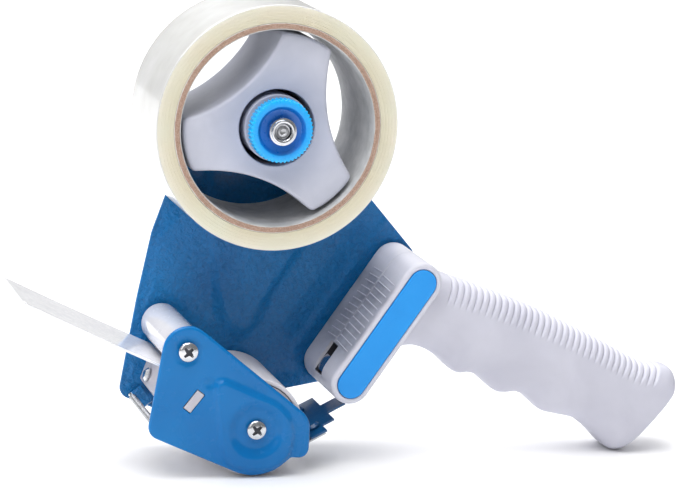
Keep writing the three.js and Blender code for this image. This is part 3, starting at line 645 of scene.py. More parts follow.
def head_finish(start, slope, length):
    """Head block plastic, with painted shade: duller and darker on the louvred wall."""
    f = Finish("head_plastic", 0.44, soft=0.08)
    a = math.radians(slope)
    split = f.node("ShaderNodeSeparateXYZ")
    f.link(f.place, split.inputs[0])
    x = f.math("SUBTRACT", split.outputs["X"], start[0] * MM + ORIGIN[0])
    z = f.math("SUBTRACT", split.outputs["Z"], start[1] * MM + ORIGIN[2])
    v = f.math("ADD", f.math("MULTIPLY", x, -math.sin(a)), f.math("MULTIPLY", z, math.cos(a)))
    u = f.math("ADD", f.math("MULTIPLY", x, math.cos(a)), f.math("MULTIPLY", z, math.sin(a)))
    # where the painted shade lies: the louvred wall, short of the head's ends
    wall = f.spread(v, 0.0070, 0.0081)
    reach = f.math("MULTIPLY", f.spread(u, -0.002, 0.010), f.spread(u, length * MM * 0.98, length * MM * 0.8))
    cloud = f.spread(f.noise(13, 4, 0.6, (1, 0.6, 1)), 0.34, 0.66)
    flow = f.noise(26, 3, 0.5, (1, 1, 1), 0.4)
    tone = f.ramp(f.spread(flow, 0.3, 0.7), [(0, srgb(202, 203, 214)), (1, srgb(214, 214, 225))])
    # painted shade for the louvred wall, mottled by a cloud noise
    thin = f.mix(cloud, srgb(132, 134, 146), srgb(172, 174, 186))
    f.colour(f.mix(f.math("MULTIPLY", wall, reach), tone, thin))
    scuff = f.noise(2.2, 6, 0.7)
    f.roughness(f.spread(scuff, 0.3, 0.75, 0.38, 0.56))
    f.bump(f.noise(0.5, 3, 0.6), 0.02)
    return f.material


# ---------------------------------------------------------------- tape roll, core and hub

ROLL_AXIS = axis_of("tape_roll")
roll_low, roll_high = box("tape_roll")
core_low, core_high = box("tape_core")
hub_low, hub_high = box("hub")
ROLL_NEAR, ROLL_FAR = roll_low[1], roll_high[1]
ROLL_RADIUS = (roll_high[0] - roll_low[0]) / 2
CORE_OUTER = (core_high[0] - core_low[0]) / 2
CORE_WALL = 2.65
CORE_BORE = CORE_OUTER - CORE_WALL


def build_roll():
    radii = np.linspace(CORE_OUTER + 0.05, ROLL_RADIUS - 0.35, 34)
    ripple = 0.06 * np.sin(np.arange(34) * 2.1) + 0.03 * np.sin(np.arange(34) * 5.3)
    near = [(r, ROLL_NEAR + 0.1 + w) for r, w in zip(radii, ripple)]
    far = [(r, ROLL_FAR - 0.1 + w) for r, w in zip(radii[::-1], ripple)]
    outer = [(ROLL_RADIUS - 0.1, ROLL_NEAR + 0.05), (ROLL_RADIUS, ROLL_NEAR + 0.3)]
    outer += [(ROLL_RADIUS - 0.02 * math.sin(k * 1.7) ** 2, y)
              for k, y in enumerate(np.linspace(ROLL_NEAR + 2, ROLL_FAR - 2, 12))]
    outer += [(ROLL_RADIUS, ROLL_FAR - 0.3), (ROLL_RADIUS - 0.1, ROLL_FAR - 0.05)]
    verts, faces = lathe(near + outer + far, ROLL_AXIS, 180)
    piece("tape_roll_body", verts, faces, tape_finish(ROLL_AXIS, CORE_OUTER, ROLL_RADIUS),
          "roll", "tape_film", ["tape_roll"], sharp=50, flat=True)


def build_core():
    near = [(r, ROLL_NEAR + 0.1 + 0.12 * math.sin(k * 2.4)) for k, r in
            enumerate(np.linspace(CORE_BORE + 0.15, CORE_OUTER - 0.1, 7))]
    far = [(r, ROLL_FAR - 0.1 + 0.12 * math.sin(k * 2.4)) for k, r in
           enumerate(np.linspace(CORE_OUTER - 0.1, CORE_BORE + 0.15, 7))]
    bore = [(CORE_BORE + 0.05 * math.sin(k * 1.3), y)
            for k, y in enumerate(np.linspace(ROLL_FAR - 0.5, ROLL_NEAR + 0.5, 20))]
    verts, faces = lathe(near + [(CORE_OUTER, 0.0)] + far + bore, ROLL_AXIS, 180)
    piece("core_body", verts, faces, core_finish(ROLL_AXIS, CORE_BORE, CORE_OUTER),
          "roll", "cardboard", ["tape_core"], sharp=40, flat=True)


SPOKE_RADIUS = 36.6
WAIST_RADIUS = 20.8
SPOKE_HALF = math.radians(16.5)
HUB_TURN = 71.5
RECESS_RADIUS = 14.9
BOSS_RADIUS = 13.0
CUP_RADIUS = 9.6


def hub_outline():
    beside = math.radians(60) - SPOKE_HALF
    tip = np.array([math.cos(beside), math.sin(beside)]) * SPOKE_RADIUS
    rise = tip[0] - WAIST_RADIUS
    radius = (tip[1] ** 2 + rise ** 2) / (2 * rise)
    points = []
    for i in range(3):
        spoke = math.radians(HUB_TURN + i * 120)
        for a in np.linspace(spoke - SPOKE_HALF, spoke + SPOKE_HALF, 30):
            points.append([SPOKE_RADIUS * math.cos(a), SPOKE_RADIUS * math.sin(a)])
        hollow = spoke + math.radians(60)
        centre = (WAIST_RADIUS + radius) * np.array([math.cos(hollow), math.sin(hollow)])
        a0, a1 = spoke + SPOKE_HALF, spoke + math.radians(120) - SPOKE_HALF
        start = math.atan2(*(SPOKE_RADIUS * np.array([math.cos(a0), math.sin(a0)]) - centre)[::-1])
        end = math.atan2(*(SPOKE_RADIUS * np.array([math.cos(a1), math.sin(a1)]) - centre)[::-1])
        if end > start:
            end -= 2 * math.pi
        for a in np.linspace(start, end, 40)[1:-1]:
            points.append(centre + radius * np.array([math.cos(a), math.sin(a)]))
    return soften(resample(np.array(points), 0.45), 3) + np.array(ROLL_AXIS)


def build_hub():
    outline = hub_outline()
    hub_near, hub_far = -21.5, hub_high[1]
    wall, face = 2.2, 2.6

    def reach(p):
        return np.hypot(p[:, 0] - ROLL_AXIS[0], p[:, 1] - ROLL_AXIS[1])

    def front(p, d, hole_d):
        r = reach(p)
        crown = 0.5 - 0.5 * smooth(r, 15, 24) + 0.9 * smooth(r, 22, 38) ** 2
        edges = edge_fall(d, 1.4) + edge_fall(hole_d, 0.5)
        return hub_near - 0.3 + crown - 0.25 * smooth(r, 17.5, 16) + edges

    def back(p, d, hole_d):
        solid = (d < wall) | (reach(p) < RECESS_RADIUS + 2)
        return np.where(solid, hub_far, hub_near + face)

    hole = circle(ROLL_AXIS, RECESS_RADIUS, 96)
    creases = [circle(ROLL_AXIS, RECESS_RADIUS + 1.95, 96), circle(ROLL_AXIS, RECESS_RADIUS + 2.05, 96)]
    verts, faces = sheet(outline, front, back, [hole], 2.0,
                         (0.1, 0.4, 0.8, 1.4, wall - 0.03, wall + 0.03), creases)
    piece("hub_spider", verts, faces, hub_plastic, "roll", "hub_plastic", ["hub"])
    cup_floor = hub_near + 12
    boss = softened([(RECESS_RADIUS - 0.02, hub_far - 3), (RECESS_RADIUS - 0.02, hub_far), (3.5, hub_far),
                     (3.5, cup_floor), (CUP_RADIUS, cup_floor), (CUP_RADIUS, hub_near - 1.2),
                     (BOSS_RADIUS, hub_near - 1.2), (BOSS_RADIUS, hub_far - 3)], 0.35, 3)
    verts, faces = lathe(boss, ROLL_AXIS, 120)
    piece("hub_boss", verts, faces, hub_plastic, "roll", "hub_plastic")


def build_knob():
    low, high = box("brake_knob")
    front, rim_radius = low[1], 12.5
    back_y = front + 5.0
    stem = CUP_RADIUS - 3.6
    count, teeth = 384, 48
    profile = softened([(3.4, front + 2.2), (5.2, front + 2.2), (8.2, front + 1.7), (9.5, front + 0.05),
                        (rim_radius - 0.3, front + 0.05), (rim_radius, front + 0.7), (rim_radius, back_y),
                        (rim_radius - 1, back_y + 0.2), (stem, back_y), (stem, high[1]), (3.4, high[1])],
                       0.3, 3)

    def knurl(i, r, angles):
        share = smooth(r, rim_radius - 1.3, rim_radius - 0.2)
        return r - share * 0.55 * np.abs(np.sin(angles * teeth / 2)) ** 1.4

    verts, faces = lathe(profile, ROLL_AXIS, count, radial=knurl)
    piece("brake_knob_body", verts, faces, knob_finish(ROLL_AXIS), "knob", "knob_plastic", ["brake_knob"],
          sharp=50)


def hexagon(radius, angles):
    """The radius of a hexagon with softened corners at each angle."""
    turn = (angles + math.pi / 6) % (math.pi / 3) - math.pi / 6
    return np.minimum(radius * math.cos(math.pi / 6) / np.cos(turn), radius * 0.975)


def build_locknut():
    low, high = box("knob_locknut")
    front, back_y = low[1], high[1]
    across = 5.7
    profile = [(3.25, back_y), (across, back_y), (across, front + 1.2), (across * 0.93, front + 0.8),
               (4.7, front + 0.65), (4.5, front + 0.2), (4.1, front + 0.02), (3.6, front + 0.15),
               (3.25, front + 0.6)]

    def shape(i, r, angles):
        return hexagon(r, angles) if i in (1, 2) else np.full(len(angles), float(r))

    verts, faces = lathe(profile, ROLL_AXIS, 96, radial=shape)
    piece("knob_nut", verts, faces, chrome_steel, "frame", "chrome_steel", ["knob_locknut"], sharp=30)


def build_bolt():
    far = box("spindle_bolt")[1][1]
    pitch, radius = 0.9, 3.0
    front = box("knob_locknut")[0][1] + 1.1
    profile = [(0, front + 0.3), (0.9, front + 0.25), (1.3, front - 0.1), (1.9, front),
               (2.3, front + 0.5), (2.7, front + 0.4)]
    y = front + 0.6
    while y < front + 12:
        profile += [(radius, y), (radius - 0.25, y + pitch / 2)]
        y += pitch
    seat = box("frame_plate")[1][1] + 0.3
    profile += [(radius, y + 0.5), (radius, seat), (5.9, seat), (6.0, seat + 1.2), (5.2, far - 0.4),
                (3.4, far), (3.0, far - 0.5), (0, far - 0.6)]

    def shape(i, r, angles):
        return hexagon(r, angles) if i >= len(profile) - 6 and r > 5 else np.full(len(angles), float(r))

    verts, faces = lathe(profile, ROLL_AXIS, 72, closed=False, radial=shape)
    piece("spindle", verts, faces, zinc_steel, "frame", "chrome_steel", ["spindle_bolt"], sharp=40)


def helix(axis, radius, y0, y1, turns, per_turn=20):
    a = np.linspace(0, turns * 2 * math.pi, int(turns * per_turn) + 1)
    y = np.linspace(y0, y1, len(a))
    return np.c_[axis[0] + radius * np.cos(a), y, axis[1] + radius * np.sin(a)]


def build_springs():
    low, high = box("guard_spring")
    axis = axis_of("guard_spring")
    verts, faces = tube(helix(axis, 1.08, low[1] + 0.3, high[1] - 0.3, 56, 12), 0.3, 6)
    piece("guard_coil", verts, faces, spring_steel, "frame", "chrome_steel", ["guard_spring"], sharp=70,
          flat=True)
    low, high = box("brake_spring")
    verts, faces = tube(helix(ROLL_AXIS, 8.1, low[1] + 0.6, high[1] - 0.6, 6, 40), 0.55, 10)
    piece("brake_coil", verts, faces, spring_steel, "roll", "chrome_steel", ["brake_spring"], sharp=70,
          flat=True)
    start, end = box("near_plate")[1][1] - 0.5, box("guard_rod")[1][1]
    rod = softened([(0, start), (0.6, start), (0.6, end), (0, end)], 0.12, 2)
    verts, faces = lathe(rod, axis, 24, closed=False)
    piece("guard_pin", verts, faces, spring_steel, "frame", "chrome_steel", ["guard_rod"], sharp=50,
          flat=True)


# ---------------------------------------------------------------- side plates

APPLICATION_AXIS = axis_of("application_sleeve")
GUIDE_AXIS = axis_of("guide_roller")
GUARD_AXIS = axis_of("guard_rod")
plate_low, plate_high = box("frame_plate")
near_low, near_high = box("near_plate")
APPLICATION_RADIUS = (box("application_sleeve")[1][0] - box("application_sleeve")[0][0]) / 2
HEAD_START = np.array([35.4, 34.4])
HEAD_SLOPE = 55.75
HEAD_LENGTH = 48.5
HEAD_RADIUS = 8.2
HEAD_ALONG = np.array([math.cos(math.radians(HEAD_SLOPE)), math.sin(math.radians(HEAD_SLOPE))])
HEAD_ACROSS = np.array([-HEAD_ALONG[1], HEAD_ALONG[0]])
HEAD_END = HEAD_START + HEAD_ALONG * HEAD_LENGTH
SLOT_CENTRE = np.array([-29.9, 31.3])
SLOT_SLOPE = math.radians(52)


def slot_loop(clearance):
    along = np.array([math.cos(SLOT_SLOPE), math.sin(SLOT_SLOPE)])
    across = np.array([-along[1], along[0]])
    u, v = 4.3 + clearance, 1.7 + clearance
    corners = [SLOT_CENTRE + along * a * u + across * b * v for a, b in ((-1, -1), (1, -1), (1, 1), (-1, 1))]
    return resample(fillet([[*c, 0.25] for c in corners], 3), 0.5)


def build_frame_plate():
    lobe = APPLICATION_RADIUS - 4.5
    outline = resample(fillet([
        tangent_corner(ROLL_AXIS, 15.4, 156.5, 41.1), [72.5, 77.8, 3], [66.5, 68, 6], [39.5, 25.6, 4],
        [*on_tangent(APPLICATION_AXIS, lobe, -20, 6.5), 4],
        tangent_corner(APPLICATION_AXIS, lobe, -20, -90), tangent_corner(APPLICATION_AXIS, lobe, -90, -112),
        [*on_tangent(APPLICATION_AXIS, lobe, -112, -41.6), 5],
        [-42.6, 61, 30], [-37.3, 87.8, 30], [-31.8, 103.5, 1.5]], 8), 1.0)
    near, far = plate_low[1], plate_high[1]
    tongue = soften(resample([(-15, 132), (-16, 96), (-12.5, 74), (-10.6, 62), (-8.6, 52), (-4, 45.6),
                              (1, 44.0), (6.2, 47.2), (8.6, 55), (13, 64), (20, 74), (27, 86), (31, 98),
                              (24, 132)], 1.0), 3)
    left_edge = np.array([(-31.8, 110), (-31.8, 103.5), (-37.3, 87.8), (-42.6, 61), (-49, 27.3), (-48, 18)])
    upper_facet = np.array([(-33, 104), (-20, 111), (-24, 98), (-27.5, 92), (-34, 86.5), (-38, 84)])
    head_side = [HEAD_START + HEAD_ACROSS * 12.6 + HEAD_ALONG * a for a in (-6, HEAD_LENGTH + 12)]
    head_side = np.array(head_side)

    def lift(p):
        """How far the pressings stand out towards the roll."""
        raised = 1.35 * smooth(signed(p, tongue), -1.6, 2.6)
        border = 0.75 * smooth(distance_to(p, left_edge, False), 2.0, 5.5)
        facet = -0.5 * smooth(signed(p, upper_facet), 0.0, 2.5)
        rib = 0.55 * smooth(distance_to(p, head_side, False), 1.7, 0.3)
        dent = -0.6 * smooth(np.hypot(p[:, 0] - 2.0, (p[:, 1] - 38) * 1.6), 26, 6)
        rest = smooth(p[:, 1], 160, 140)
        seat = smooth(np.hypot(p[:, 0] - ROLL_AXIS[0], p[:, 1] - ROLL_AXIS[1]), 8, 14)
        axles = np.minimum(smooth(np.hypot(*(p - np.array(GUIDE_AXIS)).T), 6, 10),
                           smooth(np.hypot(*(p - np.array(APPLICATION_AXIS)).T), 6, 10))
        foot = smooth(p[:, 1], 20, 30)
        head = smooth(-signed(p, stadium(HEAD_START, HEAD_END, HEAD_RADIUS)), 0.2, 2.2)
        return (raised + border + facet + rib + dent) * rest * seat * axles * foot * head

    def front(p, d, hole_d):
        return near - lift(p) + edge_fall(d, 0.45) + edge_fall(hole_d, 0.2)

    def back(p, d, hole_d):
        return far - lift(p) - edge_fall(d, 0.45) - edge_fall(hole_d, 0.2)

    plate_screws = [axis_of(f"plate_screw_{k}") for k in (1, 2)]
    holes = [circle(ROLL_AXIS, 3.3, 40), circle(GUIDE_AXIS, 2.05, 28), circle(APPLICATION_AXIS, 2.05, 28),
             circle(GUARD_AXIS, 0.9, 18), slot_loop(0.3)] + [circle(c, 1.55, 20) for c in plate_screws]
    verts, faces = sheet(outline, front, back, holes, 1.5, (0.12, 0.3, 0.5), [inset(tongue, 0.0)])
    piece("frame_side_plate", verts, faces, frame_paint, "frame", "frame_paint", ["frame_plate"], sharp=50)


def build_near_plate():
    lobe = APPLICATION_RADIUS - 0.8
    ax, az = APPLICATION_AXIS
    outline = resample(fillet([
        tangent_corner(GUIDE_AXIS, 9.8, 171, 50.8),
        [ax + lobe + 3.3, az + 3.7, 9], [ax + lobe + 3.1, az - 12.6, 4],
        [*on_tangent(APPLICATION_AXIS, lobe, -48, 2.9), 1.5],
        tangent_corner(APPLICATION_AXIS, lobe, -48, -90), tangent_corner(APPLICATION_AXIS, lobe, -90, -114),
        [*on_tangent(APPLICATION_AXIS, lobe, -114, -38.9), 5.5]], 10), 0.7)
    near, far = near_low[1], near_high[1]
    raised = soften(resample([(-22.2, 38.4), (-19.4, 40.4), (-8, 35.2), (3.8, 29.4), (9.0, 24.5),
                              (10.8, 17), (9.2, 8), (3.6, 3.4), (-4.8, 2.4), (-12.5, 4.0), (-17.8, 8.6),
                              (-20.4, 22)], 0.6), 3)
    dish = np.array(APPLICATION_AXIS)

    def lift(p):
        block = 1.6 * smooth(signed(p, raised), -0.6, 1.3)
        r = np.hypot(*(p - dish).T)
        bowl = 1.7 * smooth(r, 12.0, 7.6)
        dimple = -0.45 * smooth(np.hypot(p[:, 0] + 23.6, p[:, 1] - 38.6), 3.4, 0.6)
        seat = 0.3 * smooth(np.hypot(*(p - np.array(GUIDE_AXIS)).T), 6.2, 4.6)
        return block - np.minimum(bowl, block + 0.1) + dimple - seat

    def front(p, d, hole_d):
        return near - lift(p) + edge_fall(d, 1.1) + edge_fall(hole_d, 0.2)

    def back(p, d, hole_d):
        return far - lift(p) - edge_fall(d, 0.25)

    holes = [circle(GUIDE_AXIS, 2.05, 28), circle(APPLICATION_AXIS, 2.05, 28), slot_loop(0.3)]
    verts, faces = sheet(outline, front, back, holes, 0.9, (0.06, 0.2, 0.45, 0.8, 1.15))
    piece("near_side_plate", verts, faces, plate_gloss, "frame", "plate_gloss", ["near_plate"], sharp=50)


# ---------------------------------------------------------------- screws

def cross_screw(name, node, facing, material, depth_share=0.62):
    """A cross-head screw along Y: domed head, tapered cross recess and a plain shank, with a dark insert in
    the recess as painted shade.
    """
    low, high = box(node)
    centre = np.array(axis_of(node))
    radius = (high[0] - low[0]) / 2
    top = low[1] if facing < 0 else high[1]
    tall = 2.2 if radius > 3.5 else 1.7
    seat = top - facing * tall
    tip = high[1] if facing < 0 else low[1]
    shank = radius * 0.43
    arm, width = radius * 0.62, radius * 0.15
    turn = math.radians(43)
    cross = []
    for k in range(4):
        a = turn + k * math.pi / 2
        c, s = np.array([math.cos(a), math.sin(a)]), np.array([-math.sin(a), math.cos(a)])
        cross += [c * width * 1.6 - s * width, c * arm - s * width * 0.75, c * arm + s * width * 0.75]
    cross = resample(np.array(cross), 0.16)

    def dome(p):
        r = np.hypot(p[:, 0], p[:, 1]) / radius
        return tall * (0.35 + 0.65 * np.sqrt(np.maximum(1 - (r * 0.96) ** 2.6, 0)))

    def front(p, d, hole_d):
        into = signed(p, cross)
        reach = np.hypot(p[:, 0], p[:, 1]) / arm
        floor = tall * depth_share * np.clip(1.25 - reach * 0.75, 0.3, 1)
        return dome(p) - floor * smooth(into, 0.0, 0.10) - edge_fall(d, 0.25)

    def back(p, d, hole_d):
        return np.zeros(len(p))

    outline = circle((0, 0), radius, 72)
    verts, faces = sheet(outline, front, back, (), 0.4, (0.04, 0.12, 0.3), [cross, inset(cross, 0.1)])
    placed = np.c_[verts[:, 0] + centre[0], seat + facing * verts[:, 1], verts[:, 2] + centre[1]]
    shank_profile = [(0, tip), (shank * 0.5, tip), (shank, tip + facing * shank), (shank, seat), (0, seat)]
    more, more_faces = lathe(shank_profile, centre, 32, closed=False)
    count = len(placed)
    verts = np.vstack([placed, more])
    faces = list(faces) + [tuple(i + count for i in f) for f in more_faces]
    piece(name, verts, faces, material, "frame", "chrome_steel", [node], sharp=38)
    # a dark cross sheet inside the recess: painted shade on the recess floor
    rings = []
    for depth in (0.86, 0.42):
        loop = inset(cross, 0.06)
        rings.append(np.c_[loop[:, 0] + centre[0], np.full(len(loop), seat + facing * tall * (1 - depth)),
                           loop[:, 1] + centre[1]])
    piece(f"{name}_recess", *sweep_rings(rings), recess_shade_steel, "frame", "chrome_steel", sharp=38)


# ---------------------------------------------------------------- rollers and leaf

def build_rollers():
    low, high = box("application_sleeve")
    outer = APPLICATION_RADIUS
    inner = outer - 1.8
    sleeve = softened([(inner, low[1]), (outer, low[1]), (outer, high[1]), (inner, high[1])], 0.5, 4)
    verts, faces = lathe(sleeve, APPLICATION_AXIS, 144)
    piece("application_tyre", verts, faces, roller_rubber, "application_roller", "roller_rubber",
          ["application_sleeve"], sharp=45)
    core_top = outer - 2.1
    rim, tube_radius, bore, web = core_top - 1.8, 5.6, 3.6, 1.5
    core = softened([(bore, low[1]), (tube_radius, low[1]), (tube_radius, -web), (rim, -web), (rim, low[1]),
                     (core_top, low[1]), (core_top, high[1]), (rim, high[1]), (rim, web), (tube_radius, web),
                     (tube_radius, high[1]), (bore, high[1])], 0.3, 2)
    verts, faces = lathe(core, APPLICATION_AXIS, 96)
    piece("application_wheel", verts, faces, grey_plastic, "application_roller", "grey_plastic",
          ["application_core"], sharp=45)
    low, high = box("guide_roller")
    radius = (high[0] - low[0]) / 2
    profile = softened([(3.6, low[1]), (radius - 1.4, low[1]), (radius, low[1] + 1.0),
                        (radius, high[1] - 1.0), (radius - 1.4, high[1]), (3.6, high[1])], 0.5, 3)
    verts, faces = lathe(profile, GUIDE_AXIS, 96)
    piece("guide_wheel", verts, faces, roller_gloss, "guide_roller", "grey_plastic", ["guide_roller"],
          sharp=45)


def build_leaf():
    low, high = box("leaf")
    root = np.array([-36.5, 42.0])
    bearing = math.radians(180 - 25.3)
    along = np.array([math.cos(bearing), math.sin(bearing)])
    across = np.array([along[1], -along[0]])
    length, y0, y1 = 66.4, -22.7, high[1]
    rings = []
    for u in np.concatenate([[0, 0.2], np.linspace(0.6, length - 0.6, 60), [length - 0.2, length]]):
        half = (0.5 - 0.2 * u / length) * (1 if 0.1 < u < length - 0.1 else 0.55)
        sag = 0.25 * math.sin(math.pi * u / length)
        centre = root + along * u + across * -sag
        corner = min(half, 0.28)
        loop = fillet([[y0, -half, corner], [y1, -half, corner], [y1, half, corner], [y0, half, corner]], 3)
        rings.append(np.array([[*(centre + across * v)[:1], y, (centre + across * v)[1]] for y, v in loop]))
    verts, faces = sweep_rings(rings)
    tip = root + along * (length - 0.4)
    nub = softened([(0, low[1]), (0.95, low[1]), (0.95, low[1] + 2.6), (0, low[1] + 2.6)], 0.3, 3)
    more, more_faces = lathe(nub, tip, 24, closed=False)
    count = len(verts)
    verts = np.vstack([verts, more])
    faces = list(faces) + [tuple(i + count for i in f) for f in more_faces]
    piece("tape_leaf", verts, faces, leaf_plastic, "leaf", "leaf_plastic", ["leaf"], sharp=40)


# ---------------------------------------------------------------- handle

SPLIT_Y = (box("handle_shell_near")[1][1] + box("handle_shell_far")[0][1]) / 2
HEAD_NEAR = box("handle_shell_near")[0][1]
HEAD_FAR = box("handle_shell_far")[1][1]
GRIP_TOP = [(58, 80), (64, 78.6), (84.8, 71.9), (100.8, 66.1), (121.9, 57.4), (143.4, 46.9), (159.8, 38.2),
            (167, 35.7), (173, 34.9), (177, 33.3), (178.2, 29.6), (176, 25)]
GRIP_BELLY = [(46, 42), (60, 46), (68.1, 44.9), (75.1, 40.9), (82.7, 34.5), (87.9, 34.2), (92.5, 32.6),
              (99.7, 26.6), (103.1, 25.5), (108.8, 25.6), (113, 23.9), (117.1, 20.4), (120.8, 17.4),
              (124.8, 16.3), (134.2, 14.1), (138.7, 11.2), (143.4, 7.4), (148.9, 1.9), (152.3, 0.2),
              (156.4, 1.2), (160.4, 4.7), (166.5, 12.3), (176, 25)]
GRIP_HALF = 14.0
RIB_PITCH = 2.9


def spline(points, per=24):
    """A smooth curve through points, as a dense polyline."""
    p = np.array([points[0], *points, points[-1]], float)
    out = []
    for i in range(1, len(p) - 2):
        t = np.linspace(0, 1, per, endpoint=False)[:, None]
        a, b, c, d = p[i - 1], p[i], p[i + 1], p[i + 2]
        out.append(0.5 * (2 * b + (c - a) * t + (2 * a - 5 * b + 4 * c - d) * t ** 2
                          + (3 * b - a - 3 * c + d) * t ** 3))
    return np.vstack([*out, p[-1:]])


def lengths(line):
    return np.r_[0, np.cumsum(np.linalg.norm(np.diff(line, axis=0), axis=1))]


def at_length(line, along, s):
    return np.c_[np.interp(s, along, line[:, 0]), np.interp(s, along, line[:, 1])]


def grip_rings(sign):
    """Half of the grip on one side of the split, as closed rings from the head to the end."""
    top, belly = spline(GRIP_TOP), spline(GRIP_BELLY)
    top_s, belly_s = lengths(top), lengths(belly)

    def station(line, along, point):
        return along[np.argmin(np.hypot(*(line - np.array(point)).T))]

    keys = [((58, 80), (46, 42)), ((84.8, 71.9), (71.5, 43)), ((100.8, 66.1), (84, 34.4)),
            ((121.9, 57.4), (105, 25.4)), ((143.4, 46.9), (127, 16)), ((159.8, 38.2), (141, 9.4)),
            ((167, 35.7), (147, 3.6)), ((173, 34.9), (152.3, 0.2)), ((177, 33.3), (158, 2.4)),
            ((178.2, 29.6), (166.5, 12.3)), ((176, 25), (176, 25))]
    key_top = np.array([station(top, top_s, k[0]) for k in keys])
    key_belly = np.array([station(belly, belly_s, k[1]) for k in keys])
    s = np.concatenate([np.arange(0, key_top[6], RIB_PITCH / 9),
                        np.linspace(key_top[6], key_top[-1] - 0.05, 80)])
    upper = at_length(top, top_s, s)
    lower = at_length(belly, belly_s, np.interp(s, key_top, key_belly))
    rings = []
    end_start = key_top[6]
    end_span = key_top[-1] - end_start
    for k, (t, b) in enumerate(zip(upper, lower)):
        tall = np.linalg.norm(t - b)
        up = (t - b) / max(tall, 1e-6)
        q = np.clip((s[k] - end_start - 0.45 * end_span) / (0.55 * end_span), 0, 1)
        wide = GRIP_HALF * max(1 - q ** 7, 0.0004) ** 0.3
        wide += 3.5 * (1 - smooth(s[k], 3, 22))
        a = np.linspace(-math.pi / 2, math.pi / 2, 56)
        c, sn = np.cos(a), np.sin(a)
        n = np.where(sn > 0, 2.75, 3.5)
        y = wide * np.abs(c) ** (2 / n)
        h = tall / 2 * np.sign(sn) * np.abs(sn) ** (2 / n)
        below = tall / 2 - h
        # ribs across the back, ending part-way down the side
        band = smooth(s[k], 21, 23) * smooth(s[k], end_start + 6.5, end_start + 4.5)
        fade = smooth(below, 11.5 - 2.5 * s[k] / end_start, 8.0 - 2.5 * s[k] / end_start) * band
        groove = (1 - abs(math.sin(math.pi * s[k] / RIB_PITCH))) ** 1.6
        cut = 0.75 * groove * fade
        h = h - cut * np.clip(sn, 0, 1) ** 0.8
        y = np.maximum(y - cut * c, 0)
        centre = (t + b) / 2
        xz = centre + up * h[:, None]
        ring = np.c_[xz[:, 0], SPLIT_Y + sign * (0.12 + y), xz[:, 1]]
        inner = ring[::-6].copy()
        inner[:, 1] = SPLIT_Y + sign * 0.12
        rings.append(np.vstack([ring, inner[1:-1]]))
    return rings


def head_half(near):
    """Half of the head block as rings from the split to its face."""
    edge = 1.6
    rings = []

    def ring(distance, y):
        loop = stadium(HEAD_START, HEAD_END, HEAD_RADIUS - distance)
        rings.append(np.c_[loop[:, 0], np.full(len(loop), y), loop[:, 1]])

    seam = SPLIT_Y + (-0.12 if near else 0.12)
    face, sign = (HEAD_NEAR, -1) if near else (HEAD_FAR, 1)
    ring(1.5, seam)
    ring(0.25, seam)
    ring(0.0, seam + sign * 0.25)
    for y in np.linspace(seam + sign * 1.5, face - sign * (edge + 0.6), 8):
        ring(0.0, y)
    for a in np.linspace(0, math.pi / 2, 7):
        ring(edge * (1 - math.cos(a)), face - sign * edge * (1 - math.sin(a)))
    if near:
        ring(HEAD_RADIUS - 6.15, face)
        ring(HEAD_RADIUS - 5.95, face + 0.06)
        ring(HEAD_RADIUS - 5.9, face + 0.25)
        ring(HEAD_RADIUS - 5.9, face + 1.2)
        ring(HEAD_RADIUS - 3.0, face + 1.2)
    else:
        ring(HEAD_RADIUS - 3.0, face)
    return rings


LOUVRES = 12
LOUVRE_PITCH = 2.9
LOUVRE_START = 10


def louvre_bar(u, y0, y1, slant):
    """A thin rounded rib on the louvred wall, u along the head."""
    half, tall = 0.28, 0.5
    foot = HEAD_RADIUS - 0.35
    rings = []
    for t in np.linspace(0, 1, 9):
        y = y0 + (y1 - y0) * t
        end = min(t, 1 - t) * abs(y1 - y0)
        rise = tall * smooth(end, 0, 1.2)
        at = u + slant * (t - 0.5)
        loop = []
        for a in np.linspace(0, math.pi, 7):
            du, dv = half * math.cos(a), rise * math.sin(a)
            sunk = 0.35 if a in (0, math.pi) else 0
            p = HEAD_START + HEAD_ALONG * (at + du) + HEAD_ACROSS * (foot + 0.35 + dv - sunk)
            loop.append([p[0], y, p[1]])
        rings.append(np.array(loop))
    return sweep_rings(rings)


def build_latch():
    """A bent bright strip close under the window in the louvred wall."""
    centre = HEAD_START + HEAD_ALONG * 0.4 + HEAD_ACROSS * -0.4
    out = math.radians(HEAD_SLOPE + 90)
    angles = np.linspace(out + 0.5, out - 0.42, 20)
    rings = []
    for y in (SPLIT_Y - 5.4, SPLIT_Y + 2.2):
        loop = np.vstack([centre + radius * np.c_[np.cos(a), np.sin(a)]
                          for radius, a in ((7.9, angles), (7.2, angles[::-1]))])
        rings.append(np.c_[loop[:, 0], np.full(len(loop), y), loop[:, 1]])
    piece("latch_strip", *sweep_rings(rings), chrome_steel, "frame", "chrome_steel", ["latch_spring"],
          sharp=40)


def merge(parts):
    verts, faces, count = [], [], 0
    for v, f in parts:
        verts.append(np.asarray(v, float))
        faces += [tuple(i + count for i in face) for face in f]
        count += len(v)
    return np.vstack(verts), faces


